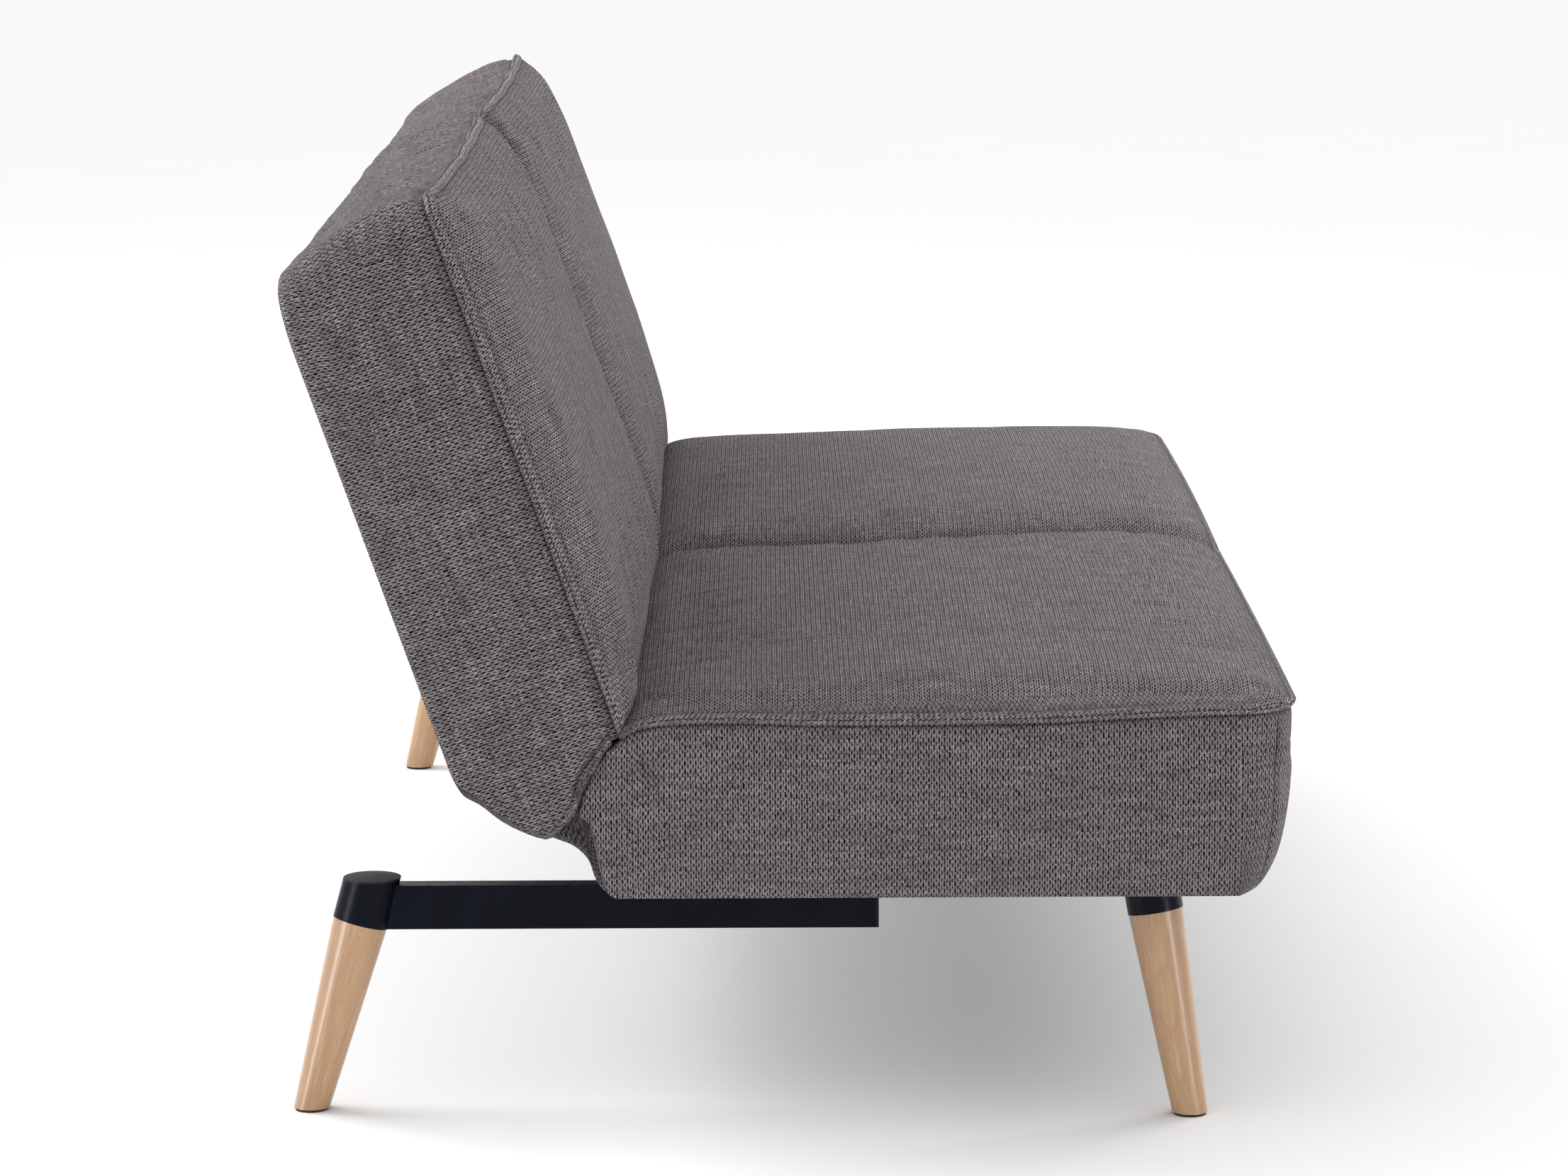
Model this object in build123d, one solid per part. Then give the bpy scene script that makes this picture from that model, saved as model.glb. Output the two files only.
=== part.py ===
from build123d import *
import os
from math import sin, cos, radians, atan2, hypot, pi, sqrt

os.makedirs("parts", exist_ok=True)

# Click-clack sofa bed. Millimetres. Origin on the floor under the middle of the
# object: X runs along the length, the front faces -Y, +Z is up.

# ---------------------------------------------------------------- driving sizes
LENGTH = 1800.0            # overall length of the cushions
HALF = LENGTH / 2
SEAT_BOTTOM = 212.0        # underside of the seat cover
SEAT_SEAM = 369.0          # height of the seam round the seat's top
SEAT_CROWN = 404.5         # highest point of the crowned seat
SEAT_FRONT = -448.0        # foremost point of the seat
BACK_TILT = 19.4           # tilt of the back's front plane from the vertical, degrees
CREASE_Y = 153.4           # where the back's front plane meets the seat's seam plane
BACK_SEAM_TOP = 489.0      # up the back, from the crease to the top seam
BACK_THICK = 152.0         # from the back's front seam plane to its rear face
PIVOT_DEPTH = 87.0         # from the pivot to the seat plane, and to the back plane
FLAT_ANGLE = 90.0 - BACK_TILT   # recline that brings the back level with the seat
COVER_T = 2.0              # cover fabric
FOAM_GAP = 2.4             # foam's inset from the outside of the cover

SEAT_TUBE = 30.0           # seat frame tube, square
BACK_TUBE = 25.0           # back frame tube, square
TUBE_WALL = 1.5
SEAT_FRAME_X = 821.0       # half the seat frame's length
BACK_FRAME_X = 827.0       # half the back frame's length
FRAME_BOTTOM = 214.5
WIRE_R = 1.9               # sinuous spring wire
RUN_HALF = 20.0            # half of a sinuous spring's straight run

RAIL_W, RAIL_H = 20.0, 40.0     # side rail tube
RAIL_X = 780.0
RAIL_TOP = 203.5
RAIL_FRONT = -79.0

CUP_R, CUP_WALL = 25.0, 2.0     # leg cups
REAR_FOOT = (797.0, 432.5, 0.0)
REAR_TOP = (780.0, 376.0, 208.0)
FRONT_FOOT = (827.0, -357.0, 0.0)
FRONT_TOP = (806.0, -320.5, 214.5)
REAR_RIM_Z = 168.8
FRONT_RIM_Z = 182.6
LEG_TOP_R, LEG_FOOT_R = 24.6, 15.5
GLIDE_T, GLIDE_R = 2.5, 14.4

PLATE_SEAT_X = (821.0, 826.0)   # hinge plates, washer and bolt along X
WASHER_X = (826.1, 826.9)
PLATE_BACK_X = (827.0, 831.0)
PIVOT_R = 5.0
PIVOT_CLEAR = 0.06
CATCH_RATIO = 0.11              # catch lift per degree of recline
ROLLER_R = 3.5
CATCH_GAP = 0.5

t = radians(BACK_TILT)
ST, CT = sin(t), cos(t)
HALF_REFLEX = PIVOT_DEPTH * sin(radians(FLAT_ANGLE) / 2) / cos(radians(FLAT_ANGLE) / 2)
PIVOT = (CREASE_Y + HALF_REFLEX, SEAT_SEAM - PIVOT_DEPTH)      # (Y, Z)


def to_local(y, z):
    """Global (Y, Z) to the back's own (v towards the rear, u up the back)."""
    dy, dz = y - CREASE_Y, z - SEAT_SEAM
    return (dy * CT - dz * ST, dy * ST + dz * CT)


def to_global(v, u):
    return (CREASE_Y + u * ST + v * CT, SEAT_SEAM + u * CT - v * ST)


BACK_LOC = Plane(origin=(0, CREASE_Y, SEAT_SEAM), x_dir=(1, 0, 0), z_dir=(0, ST, CT)).location
PV, PU = to_local(*PIVOT)


# ---------------------------------------------------------------- small helpers
def outline(points):
    """Closed face on XY from points; (mid, end) pairs are three-point arcs."""
    edges = []
    cur = points[0]
    for p in points[1:] + [points[0]]:
        if isinstance(p[0], tuple):
            edges.append(ThreePointArc(cur, p[0], p[1]))
            cur = p[1]
        else:
            if hypot(p[0] - cur[0], p[1] - cur[1]) > 1e-6:
                edges.append(Line(cur, p))
            cur = p
    return make_face(edges)


def inset(points, d):
    """The outline moved inwards by d: corners along their mitre, arc middles along their normal."""
    segs, cur = [], points[0]
    for p in points[1:] + [points[0]]:
        mid, end = p if isinstance(p[0], tuple) else (None, p)
        if hypot(end[0] - cur[0], end[1] - cur[1]) > 1e-6:
            segs.append((cur, mid, end))
        cur = end
    area = sum(a[0] * b[1] - b[0] * a[1] for a, _, b in segs)
    side = 1 if area > 0 else -1

    def unit(x, y):
        k = hypot(x, y)
        return (x / k, y / k)

    def normals(a, m, b):
        """Inward normals at the start, middle and end."""
        if m is None:
            tx, ty = unit(b[0] - a[0], b[1] - a[1])
            nn = (-ty * side, tx * side)
            return nn, nn, nn
        ax, ay, bx, by, mx, my = a[0], a[1], b[0], b[1], m[0], m[1]
        dd = 2 * (ax * (my - by) + mx * (by - ay) + bx * (ay - my))
        ux = ((ax**2 + ay**2) * (my - by) + (mx**2 + my**2) * (by - ay) + (bx**2 + by**2) * (ay - my)) / dd
        uy = ((ax**2 + ay**2) * (bx - mx) + (mx**2 + my**2) * (ax - bx) + (bx**2 + by**2) * (mx - ax)) / dd
        turn = (mx - ax) * (by - my) - (my - ay) * (bx - mx)
        s = 1 if turn * side > 0 else -1          # the centre lies inwards on a convex arc
        return tuple(unit(s * (ux - q[0]), s * (uy - q[1])) for q in (a, m, b))

    norms = [normals(*q) for q in segs]
    starts = []
    for i, q in enumerate(segs):
        n1, n2 = norms[i - 1][2], norms[i][0]
        k = d / (1 + n1[0] * n2[0] + n1[1] * n2[1])
        starts.append((q[0][0] + k * (n1[0] + n2[0]), q[0][1] + k * (n1[1] + n2[1])))
    out = [starts[0]]
    for i, (a, m, b) in enumerate(segs):
        end = starts[(i + 1) % len(segs)]
        if m is None:
            out.append(end)
        else:
            nm = norms[i][1]
            out.append(((m[0] + d * nm[0], m[1] + d * nm[1]), end))
    if not isinstance(out[-1][0], tuple):
        out.pop()
    return out


def shrunk(points, d):
    return outline(inset(points, d) if d else points)


def solid_of(shape):
    """The one solid of a result, or a compound of several."""
    s = shape.solids()
    return s[0] if len(s) == 1 else Compound(children=list(s))


def bar(x0, x1, y0, y1, z0, z1):
    return Pos((x0 + x1) / 2, (y0 + y1) / 2, (z0 + z1) / 2) * Box(
        abs(x1 - x0), abs(y1 - y0), abs(z1 - z0))


def rod_x(y, z, r, x0, x1):
    """Cylinder along X."""
    return Pos((x0 + x1) / 2, y, z) * Rot(0, 90, 0) * Cylinder(r, abs(x1 - x0))


def hex_x(y, z, af, x0, x1):
    face = Plane(origin=(x0, y, z), z_dir=(1, 0, 0)) * RegularPolygon(af / sqrt(3), 6)
    return extrude(face, amount=x1 - x0)


def hex_z(x, y, af, z0, z1):
    face = Plane(origin=(x, y, z0), z_dir=(0, 0, 1)) * RegularPolygon(af / sqrt(3), 6)
    return extrude(face, amount=z1 - z0)


def slab(points, x0, x1):
    """(Y, Z) outline extruded from x0 to x1."""
    face = Plane(origin=(x0, 0, 0), x_dir=(0, 1, 0), z_dir=(1, 0, 0)) * outline(points)
    return extrude(face, amount=x1 - x0)


def both(shape):
    """The part at +X and its mirror image, as a group."""
    return Compound(children=list(shape.solids()) + list(mirror(shape, about=Plane.YZ).solids()))


written = []


def save(name, shape):
    export_step(shape, "parts/" + name + ".step")
    written.append(name)
    bb = shape.bounding_box()
    print(f"{name:24s} solids {len(shape.solids()):2d} vol {shape.volume/1e3:10.1f} cm3 "
          f"Y {bb.min.Y:7.1f} {bb.max.Y:7.1f} Z {bb.min.Z:6.1f} {bb.max.Z:6.1f} X {bb.min.X:7.1f} {bb.max.X:7.1f}")


def save_pair(name, shape):
    """shape is at +X, the sitter's left; the right one mirrors it."""
    save("left_" + name, shape)
    save("right_" + name, solid_of(mirror(shape, about=Plane.YZ)))


# ---------------------------------------------------------------- cushions
SEAT_PROFILE = [
    (150, SEAT_BOTTOM), (-396, SEAT_BOTTOM), ((-424, 226), (-437, 262)),
    ((-446, 310), (SEAT_FRONT, 368)), ((-442, 390), (-415, 401)),
    ((-250, SEAT_CROWN), (-60, 401.5)), ((30, 398.5), (112, 392)), ((132, 385), (143, 370)),
    (163, 343), (176, 329), (181, 305), (184, 290), (176, 280), (166, 247), (158, 225),
]
SEAT_ENDS = [
    (-882, SEAT_BOTTOM), (882, SEAT_BOTTOM), ((HALF, 290), (889, 369)),
    ((858, 394), (790, 406)), (-790, 406), ((-858, 394), (-889, 369)), ((-HALF, 290), (-882, SEAT_BOTTOM)),
]
SEAT_PLAN = [
    (-HALF - 2, 190), (-HALF - 2, -404), ((-889, -428), (-862, -438)), ((0, SEAT_FRONT - 2), (862, -438)),
    ((889, -428), (HALF + 2, -404)), (HALF + 2, 190),
]


def seat_block(d):
    side = extrude(Plane.YZ * shrunk(SEAT_PROFILE, d), amount=HALF + 5, both=True)
    ends = extrude(Plane.XZ * shrunk(SEAT_ENDS, d), amount=600, both=True)
    plan = extrude(Plane.XY * shrunk(SEAT_PLAN, d), amount=600, both=True)
    return side & ends & plan


BACK_PROFILE = [to_local(*p) for p in [
    (142, 392), (143.5, 377), (150.5, 364), (165.5, 346.5), (178.5, 332), (183, 318), (184.5, 305),
    (187.5, 291), (189, 283), (191, 274), (196, 266.5), (203, 262.5), (227.9, 269), (252.6, 281.8),
    (277.3, 297.1), (288.2, 308.4)]] + [
    (150, 60), (BACK_THICK, 300), (BACK_THICK, 413), ((150.5, 440), (143, 462)),
    ((70, 482), (0, BACK_SEAM_TOP)), ((-19, 475), (-29, 440)), ((-36, 240), (-30, 62)),
]
BACK_ENDS = [       # across the length and up the back (x, u)
    (-884, -120), (884, -120), ((893, 180), (HALF, 200)), (889, 500), (-889, 500), ((-896, 350), (-HALF, 200)),
]
BACK_PLAN = [       # across the length and through the thickness (x, v)
    (-889, 0), ((-858, -26), (-790, -37)), (790, -37), ((858, -26), (889, 0)),
    ((HALF, 75), (885, 149)), (872, 153), (-872, 153), (-885, 149), ((-HALF, 75), (-889, 0)),
]


def back_block(d):
    side = extrude(Plane.YZ * shrunk(BACK_PROFILE, d), amount=HALF + 5, both=True)
    plan = extrude(Plane.XY * shrunk(BACK_PLAN, d), amount=700, both=True)
    return side & plan


# hinge slots, at +X and -X: where the hinge parts pass through foam and cover
SLOT_X = (806.0, 850.0)


def two(x0, x1, y0, y1, z0, z1):
    return bar(x0, x1, y0, y1, z0, z1) + bar(-x1, -x0, y0, y1, z0, z1)


seat_frame_pocket = bar(-824, 824, -398, 138, 200, 258.3)
seat_hinge_pocket = (two(*SLOT_X, -45, 190, 200, 258.3) + two(*SLOT_X, 92, 190, 200, 303))
seat_cover_slot = two(*SLOT_X, 146, 192, 224, 303)
hem_opening = bar(-851, 851, -399, 119, 200, 220)

print("cushions")
seat_cover = seat_block(0) - seat_block(COVER_T) - hem_opening - seat_cover_slot
save("seat_cover", solid_of(seat_cover))
seat_foam = seat_block(FOAM_GAP) - seat_frame_pocket - seat_hinge_pocket
save("seat_foam", solid_of(seat_foam))

dust_cover = bar(-850.5, 850.5, -398.5, 118.5, 212.2, 213.4)
for sx in (-1, 1):
    dust_cover -= bar(sx * 775, sx * 837, -351.5, -289.5, 210, 216)
    for y in (-40, 105.0):
        dust_cover -= Pos(sx * RAIL_X, y, 213) * Cylinder(10, 6)
save("seat_dust_cover", solid_of(dust_cover))

back_frame_pocket = bar(-829.5, 829.5, 97.6, 160, -24, 444)
back_hinge_pocket = (two(*SLOT_X, 20, 139, -110, -24.5) + two(*SLOT_X, 60, 139, -30, 165))
back_cover_slot = two(*SLOT_X, 20, 115, -110, -38)
back_cover = back_block(0) - back_block(COVER_T) - back_cover_slot
save("back_cover", solid_of(BACK_LOC * back_cover))
back_foam = back_block(FOAM_GAP) - back_frame_pocket - back_hinge_pocket
save("back_foam", solid_of(BACK_LOC * back_foam))

# board and wadding that close the back behind its frame
rear_board = bar(-827, 827, 135.4, 138.4, -22, 442)
save("back_rear_board", solid_of(BACK_LOC * rear_board))
rear_wadding = back_block(FOAM_GAP) & bar(-829, 829, 138.6, 160, -23.5, 443.5)
save("back_rear_wadding", solid_of(BACK_LOC * rear_wadding))

# fabric gusset that bridges the crease underneath
gus_a = [(156.5, 215.5), (163.5, 227), (171.5, 238), (181.5, 247.0), (192, 253.6), (201.5, 258.6)]
gus_b = [(200.8, 260.0), (191.3, 255.0), (180.5, 248.4), (170.3, 239.2), (162.1, 227.9), (155.1, 216.4)]
save("crease_gusset", solid_of(slab(gus_a + gus_b, -884, 884)))

# ---------------------------------------------------------------- seat frame
print("seat frame")


def tube_x(x0, x1, y0, y1, z0, z1, w=TUBE_WALL):
    return bar(x0, x1, y0, y1, z0, z1) - bar(x0 - 1, x1 + 1, y0 + w, y1 - w, z0 + w, z1 - w)


def tube_y(x0, x1, y0, y1, z0, z1, w=TUBE_WALL):
    return bar(x0, x1, y0, y1, z0, z1) - bar(x0 + w, x1 - w, y0 - 1, y1 + 1, z0 + w, z1 - w)


def tube_z(x0, x1, y0, y1, z0, z1, w=TUBE_WALL):
    return bar(x0, x1, y0, y1, z0, z1) - bar(x0 + w, x1 - w, y0 + w, y1 - w, z0 - 1, z1 + 1)


FB, FT = FRAME_BOTTOM, FRAME_BOTTOM + SEAT_TUBE
SX = SEAT_FRAME_X
frame = tube_x(-SX, SX, -395, -365, FB, FT) + tube_x(-SX, SX, 90, 135, FB, FT)
for sx in (-1, 1):
    frame += tube_y(min(sx * SX, sx * (SX - 30)), max(sx * SX, sx * (SX - 30)), -365, 90, FB, FT)
frame += tube_x(-(SX - 30), SX - 30, -55, -25, FB, FB + 20)
frame += tube_y(-15, 15, -365, -55, FB, FB + 20) + tube_y(-15, 15, -25, 90, FB, FB + 20)
# drain holes open each closed tube downwards
for x, y in [(806, -200), (-806, -200), (806, 40), (-806, 40), (0, -200), (0, 40), (300, -40), (-300, -40),
             (300, -380), (-300, -380), (300, 112), (-300, 112)]:
    frame -= Pos(x, y, FB) * Cylinder(3, 8)
# bolt holes for the hinge plates and the rails
HINGE_BOLT_Y = (-8.0, 70.0)
RAIL_BOLT_Y = (-40.0, 105.0)
for sx in (-1, 1):
    for y in HINGE_BOLT_Y:
        frame -= rod_x(y, 229.5, 4.3, sx * 785, sx * 825)
    for y in RAIL_BOLT_Y:
        frame -= Pos(sx * RAIL_X, y, FB) * Cylinder(4.3, 10)
save("seat_frame", solid_of(frame))


def sinuous(runs, pitch):
    """Zigzag wire spring on XY, along +Y, first and last runs straight across."""
    edges = []
    x = -RUN_HALF
    for i in range(runs):
        y = i * pitch
        edges.append(Line((x, y), (-x, y)))
        x = -x
        if i < runs - 1:
            bulge = pitch / 2 if x > 0 else -pitch / 2
            edges.append(ThreePointArc((x, y), (x + bulge, y + pitch / 2), (x, y + pitch)))
    path = Wire(edges)
    start = Plane(origin=(-RUN_HALF, 0, 0), z_dir=(1, 0, 0))
    return sweep(start * Circle(WIRE_R), path=path)


CLIP_HOLE = WIRE_R + 0.08


def clip():
    """Clip that holds a spring's end run, wire axis at the origin, its foot at z = -4.5."""
    return (bar(-8, 8, -6, 6, -4.5, 4.0) - Rot(0, 90, 0) * Cylinder(CLIP_HOLE, 40))


seat_runs = 20
y_first, y_last = -380.0, 112.5
seat_spring = sinuous(seat_runs, (y_last - y_first) / (seat_runs - 1))
seat_spring_x = [-720 + 180 * i for i in range(9)]
WIRE_Z = FT + 4.5
save("seat_springs", Compound(children=[solid_of(Pos(x, y_first, WIRE_Z) * seat_spring) for x in seat_spring_x]))
save("seat_spring_clips", Compound(children=[
    solid_of(Pos(x, y, WIRE_Z) * clip()) for x in seat_spring_x for y in (y_first, y_last)]))
save("seat_felt_pad", solid_of(bar(-816, 816, -396, 136, 253.9, 257.9)))

# ---------------------------------------------------------------- back frame
print("back frame")
BX = BACK_FRAME_X
bv0, bv1 = 110.0, 110.0 + BACK_TUBE
bframe = tube_x(-BX, BX, bv0, bv1, -20, 5) + tube_x(-BX, BX, bv0, bv1, 415, 440)
for x0 in (-BX, BX - 25, -287.5, 262.5):
    bframe += tube_z(x0, x0 + 25, bv0, bv1, 5, 415)
for x0 in (-BX, BX - 25, -287.5, 262.5):
    bframe -= Pos(x0 + 12.5, bv1, 60) * Rot(90, 0, 0) * Cylinder(3, 8)
for x, u in [(120, -7.5), (-120, -7.5), (120, 427.5), (-120, 427.5)]:
    bframe -= Pos(x, bv1, u) * Rot(90, 0, 0) * Cylinder(3, 8)
BACK_BOLT_U = (40.0, 120.0)
for sx in (-1, 1):
    for u in BACK_BOLT_U:
        bframe -= rod_x(122.5, u, 4.3, sx * 795, sx * 830)
save("back_frame", solid_of(BACK_LOC * bframe))

back_runs = 18
u_first, u_last = -7.5, 427.5
back_spring = sinuous(back_runs, (u_last - u_first) / (back_runs - 1))
UPRIGHT = Plane(origin=(0, 0, 0), x_dir=(1, 0, 0), z_dir=(0, -1, 0)).location   # XY onto (x, u)
back_spring_x = [-720 + 240 * i for i in range(7)]
save("back_springs", Compound(children=[
    solid_of(BACK_LOC * Pos(x, bv0 - 4.5, u_first) * UPRIGHT * back_spring) for x in back_spring_x]))
save("back_spring_clips", Compound(children=[
    solid_of(BACK_LOC * Pos(x, bv0 - 4.5, u) * UPRIGHT * clip()) for x in back_spring_x for u in (u_first, u_last)]))
save("back_felt_pad", solid_of(BACK_LOC * bar(-826, 826, 98.0, 101.2, -22, 442)))

# ---------------------------------------------------------------- legs and rails
print("legs and rails")


def leg_axis(foot, top):
    d = Vector(*top) - Vector(*foot)
    n = d.normalized()
    return Vector(*foot), n


def on_axis(foot, n, z):
    return foot + n * ((z - foot.Z) / n.Z)


def cyl_along(p0, n, r, length):
    return extrude(Plane(origin=p0, z_dir=n) * Circle(r), amount=length)


def leg_set(foot, top, rim_z, top_z):
    f, n = leg_axis(foot, top)
    rim = on_axis(f, n, rim_z)
    outer = cyl_along(rim, n, CUP_R, 80)
    inner = cyl_along(rim - n * 1, n, CUP_R - CUP_WALL, 82)
    below = bar(foot[0] - 150, foot[0] + 150, foot[1] - 150, foot[1] + 150, 0, top_z)
    floor = cyl_along(rim + n * 19, n, CUP_R - CUP_WALL + 0.5, 3)
    cup = (outer - inner + floor) & below
    cup -= cyl_along(rim, n, 4.3, 60)
    # turned leg: spigot in the cup, taper below it, foot cut level
    length = (rim - f).length
    shank = Plane(origin=f, z_dir=n) * Cone(LEG_FOOT_R, LEG_TOP_R, length, align=(Align.CENTER, Align.CENTER, Align.MIN))
    shank += Plane(origin=f - n * 10, z_dir=n) * Cylinder(LEG_FOOT_R, 10, align=(Align.CENTER, Align.CENTER, Align.MIN))
    leg = shank + cyl_along(rim - n * 1, n, CUP_R - CUP_WALL - 0.2, 19)
    leg -= bar(foot[0] - 150, foot[0] + 150, foot[1] - 150, foot[1] + 150, -60, GLIDE_T)
    leg -= cyl_along(rim - n * 32, n, 4.05, 60)
    # hanger bolt with its nut above the cup's floor
    stud = cyl_along(rim - n * 31.5, n, 4.0, 61)
    nut = extrude(Plane(origin=rim + n * 22.0, z_dir=n) * RegularPolygon(13 / sqrt(3), 6), amount=6.0)
    bolt = stud + nut
    glide_at = on_axis(f, n, GLIDE_T / 2)
    glide = Pos(glide_at.X, glide_at.Y, GLIDE_T / 2) * Cylinder(GLIDE_R, GLIDE_T)
    return cup, leg, bolt, glide


rear_cup, rear_leg, rear_stud, rear_glide = leg_set(REAR_FOOT, REAR_TOP, REAR_RIM_Z, REAR_TOP[2])
rear_stud = rear_stud & bar(600, 1000, 200, 600, 100, 203)

# front cup: weld plate on top, under the seat frame's side tube
f, n = leg_axis(FRONT_FOOT, FRONT_TOP)
front_cup, front_leg, front_stud, front_glide = leg_set(FRONT_FOOT, FRONT_TOP, FRONT_RIM_Z, 211.5)
front_cup += bar(776, 823, -350.5, -290.5, 211.5, 214.5)
front_stud = front_stud & bar(600, 1000, -600, -100, 100, 211.2)

save_pair("rear_cup", solid_of(rear_cup))
save_pair("rear_leg", solid_of(rear_leg))
save_pair("front_cup", solid_of(front_cup))
save_pair("front_leg", solid_of(front_leg))
save("leg_hanger_bolts", both(Compound(children=list(rear_stud.solids()) + list(front_stud.solids()))))
save("foot_glides", both(Compound(children=list(rear_glide.solids()) + list(front_glide.solids()))))

rf, rn = leg_axis(REAR_FOOT, REAR_TOP)
cup_line = cyl_along(on_axis(rf, rn, 190), rn, CUP_R, 60)
plug_line = cyl_along(on_axis(rf, rn, 190), rn, CUP_R - CUP_WALL - 0.15, 60)
dome = Pos(REAR_TOP[0], REAR_TOP[1], 211.4 - 200) * Sphere(200)
cap = (cup_line & bar(700, 900, 300, 500, 208.0, 214) & dome) + (plug_line & bar(700, 900, 300, 500, 204.5, 208.5))
save("rear_cup_caps", both(cap))

# side rails: rectangular tube, welded to the rear cup, bolted up to the seat frame
RX0, RX1 = RAIL_X - RAIL_W / 2, RAIL_X + RAIL_W / 2
RZ0, RZ1 = RAIL_TOP - RAIL_H, RAIL_TOP
rail = bar(RX0, RX1, RAIL_FRONT + 2, 380, RZ0, RZ1) - bar(RX0 + 1.5, RX1 - 1.5, -200, 400, RZ0 + 1.5, RZ1 - 1.5)
rail -= cyl_along(on_axis(rf, rn, 120), rn, CUP_R, 140)
rail &= bar(700, 900, -200, on_axis(rf, rn, 183).Y - 3, 100, 260)
for y in RAIL_BOLT_Y:
    rail -= Pos(RAIL_X, y, 183) * Cylinder(4.3, 60)
save_pair("side_rail", max(rail.solids(), key=lambda s: s.volume))

plug = bar(RX0, RX1, RAIL_FRONT, RAIL_FRONT + 2, RZ0, RZ1) + bar(
    RX0 + 1.6, RX1 - 1.6, RAIL_FRONT + 2, RAIL_FRONT + 14, RZ0 + 1.6, RZ1 - 1.6)
plug -= bar(RX0 + 3.5, RX1 - 3.5, RAIL_FRONT + 4, RAIL_FRONT + 20, RZ0 + 3.5, RZ1 - 3.5)
save("rail_end_plugs", both(plug))

spacers, rbolts = [], []
for y in RAIL_BOLT_Y:
    spacers.append(solid_of(Pos(RAIL_X, y, (RZ1 + FB) / 2) * (Cylinder(9, FB - RZ1) - Cylinder(4.3, 30))))
    b = Pos(RAIL_X, y, (RZ0 + 231) / 2) * Cylinder(4.0, 231 - RZ0)
    b += Pos(RAIL_X, y, RZ0 - 0.8) * Cylinder(8.5, 1.6) + hex_z(RAIL_X, y, 13, RZ0 - 6.9, RZ0 - 1.6)
    b += hex_z(RAIL_X, y, 13, FB + 1.5, FB + 8.0)
    rbolts.append(solid_of(b))
save("rail_spacers", both(Compound(children=spacers)))
save("rail_bolts", both(Compound(children=rbolts)))

# ---------------------------------------------------------------- hinges
print("hinges")
PY, PZ = PIVOT

# the catch: pivot Q and roller centre N0 in the back's own (v, u)
Q = (PV + 24.0, PU + 22.0)
a0 = radians(100.0)
N0 = (PV + 20.0 * cos(a0), PU + 20.0 * sin(a0))


def turn_cw(p, c, ang):
    dx, dy = p[0] - c[0], p[1] - c[1]
    return (c[0] + dx * cos(ang) + dy * sin(ang), c[1] - dx * sin(ang) + dy * cos(ang))


# cam edge of the seat plate: follows the roller over the whole recline, a gap away
cam = []
steps = 18
for i in range(-2, steps + 3):
    a = radians(FLAT_ANGLE) * i / steps
    v, u = turn_cw(N0, Q, CATCH_RATIO * a)
    g = turn_cw(to_global(v, u), PIVOT, a)
    dy, dz = g[0] - PY, g[1] - PZ
    r = hypot(dy, dz) - ROLLER_R - CATCH_GAP
    if i in (0, 6, 12, 18):
        r -= 0.9                      # shallow notches where the back clicks
    ang = atan2(dz, dy)
    cam.append((PY + r * cos(ang), PZ + r * sin(ang)))
cam_first = atan2(cam[0][1] - PZ, cam[0][0] - PY)
cam_last = atan2(cam[-1][1] - PZ, cam[-1][0] - PY)
base_r = 15.5
ring = []
k = 24
span = 2 * pi - (cam_first - cam_last)
for i in range(1, k):
    ang = cam_last - span * i / k
    ring.append((PY + base_r * cos(ang), PZ + base_r * sin(ang)))
seat_plate = slab(cam + ring, *PLATE_SEAT_X)
arm = slab([(-45, 216.5), (118, 216.5), (140, 232), (207, 267.5), (209, 292), (192, 296), (96, 243), (-45, 243)],
           *PLATE_SEAT_X)
seat_plate = seat_plate + arm
seat_plate -= rod_x(PY, PZ, PIVOT_R + 0.03, 815, 830)
for y in HINGE_BOLT_Y:
    seat_plate -= rod_x(y, 229.5, 4.2, 815, 830)
save_pair("seat_hinge_plate", solid_of(seat_plate))

# the back's plate, in its own (v, u)
back_plate = slab([(PV + 13, PU - 13.2), (135, -22), (135, 148), (111, 148), (111, 0), (PV - 13, PU + 13.2)],
                  *PLATE_BACK_X)
back_plate = back_plate + rod_x(PV, PU, 18.5, *PLATE_BACK_X)
back_plate -= rod_x(PV, PU, PIVOT_R + PIVOT_CLEAR, 820, 835)
back_plate -= rod_x(Q[0], Q[1], 3.0, 820, 835)
for u in BACK_BOLT_U:
    back_plate -= rod_x(122.5, u, 4.2, 820, 835)
save_pair("back_hinge_plate", solid_of(BACK_LOC * back_plate))

washer = rod_x(PY, PZ, 12, *WASHER_X) - rod_x(PY, PZ, PIVOT_R + 0.1, 820, 830)
save("hinge_washers", both(washer))

pivot_bolt = rod_x(PY, PZ, PIVOT_R, 812.0, 831.5)
head = Pos(831.3, PY, PZ) * Rot(0, 90, 0) * Cylinder(9.5, 5.5, align=(Align.CENTER, Align.CENTER, Align.MIN))
head = fillet(head.edges().group_by(Axis.X)[-1], 3.0)
head -= hex_x(PY, PZ, 6, 833.8, 840)
save("pivot_bolts", both(pivot_bolt + head))
nut = hex_x(PY, PZ, 16, 812.6, 820.8) - rod_x(PY, PZ, PIVOT_R + 0.02, 805, 825)
save("pivot_nuts", both(nut))


def through_bolt(y, z, x_head, x_nut, x_nut_end):
    b = rod_x(y, z, 4.0, x_nut_end - 1.5, x_head)
    b += hex_x(y, z, 13, x_head, x_head + 5.3)
    b += hex_x(y, z, 13, x_nut_end, x_nut)
    return solid_of(b)


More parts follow.
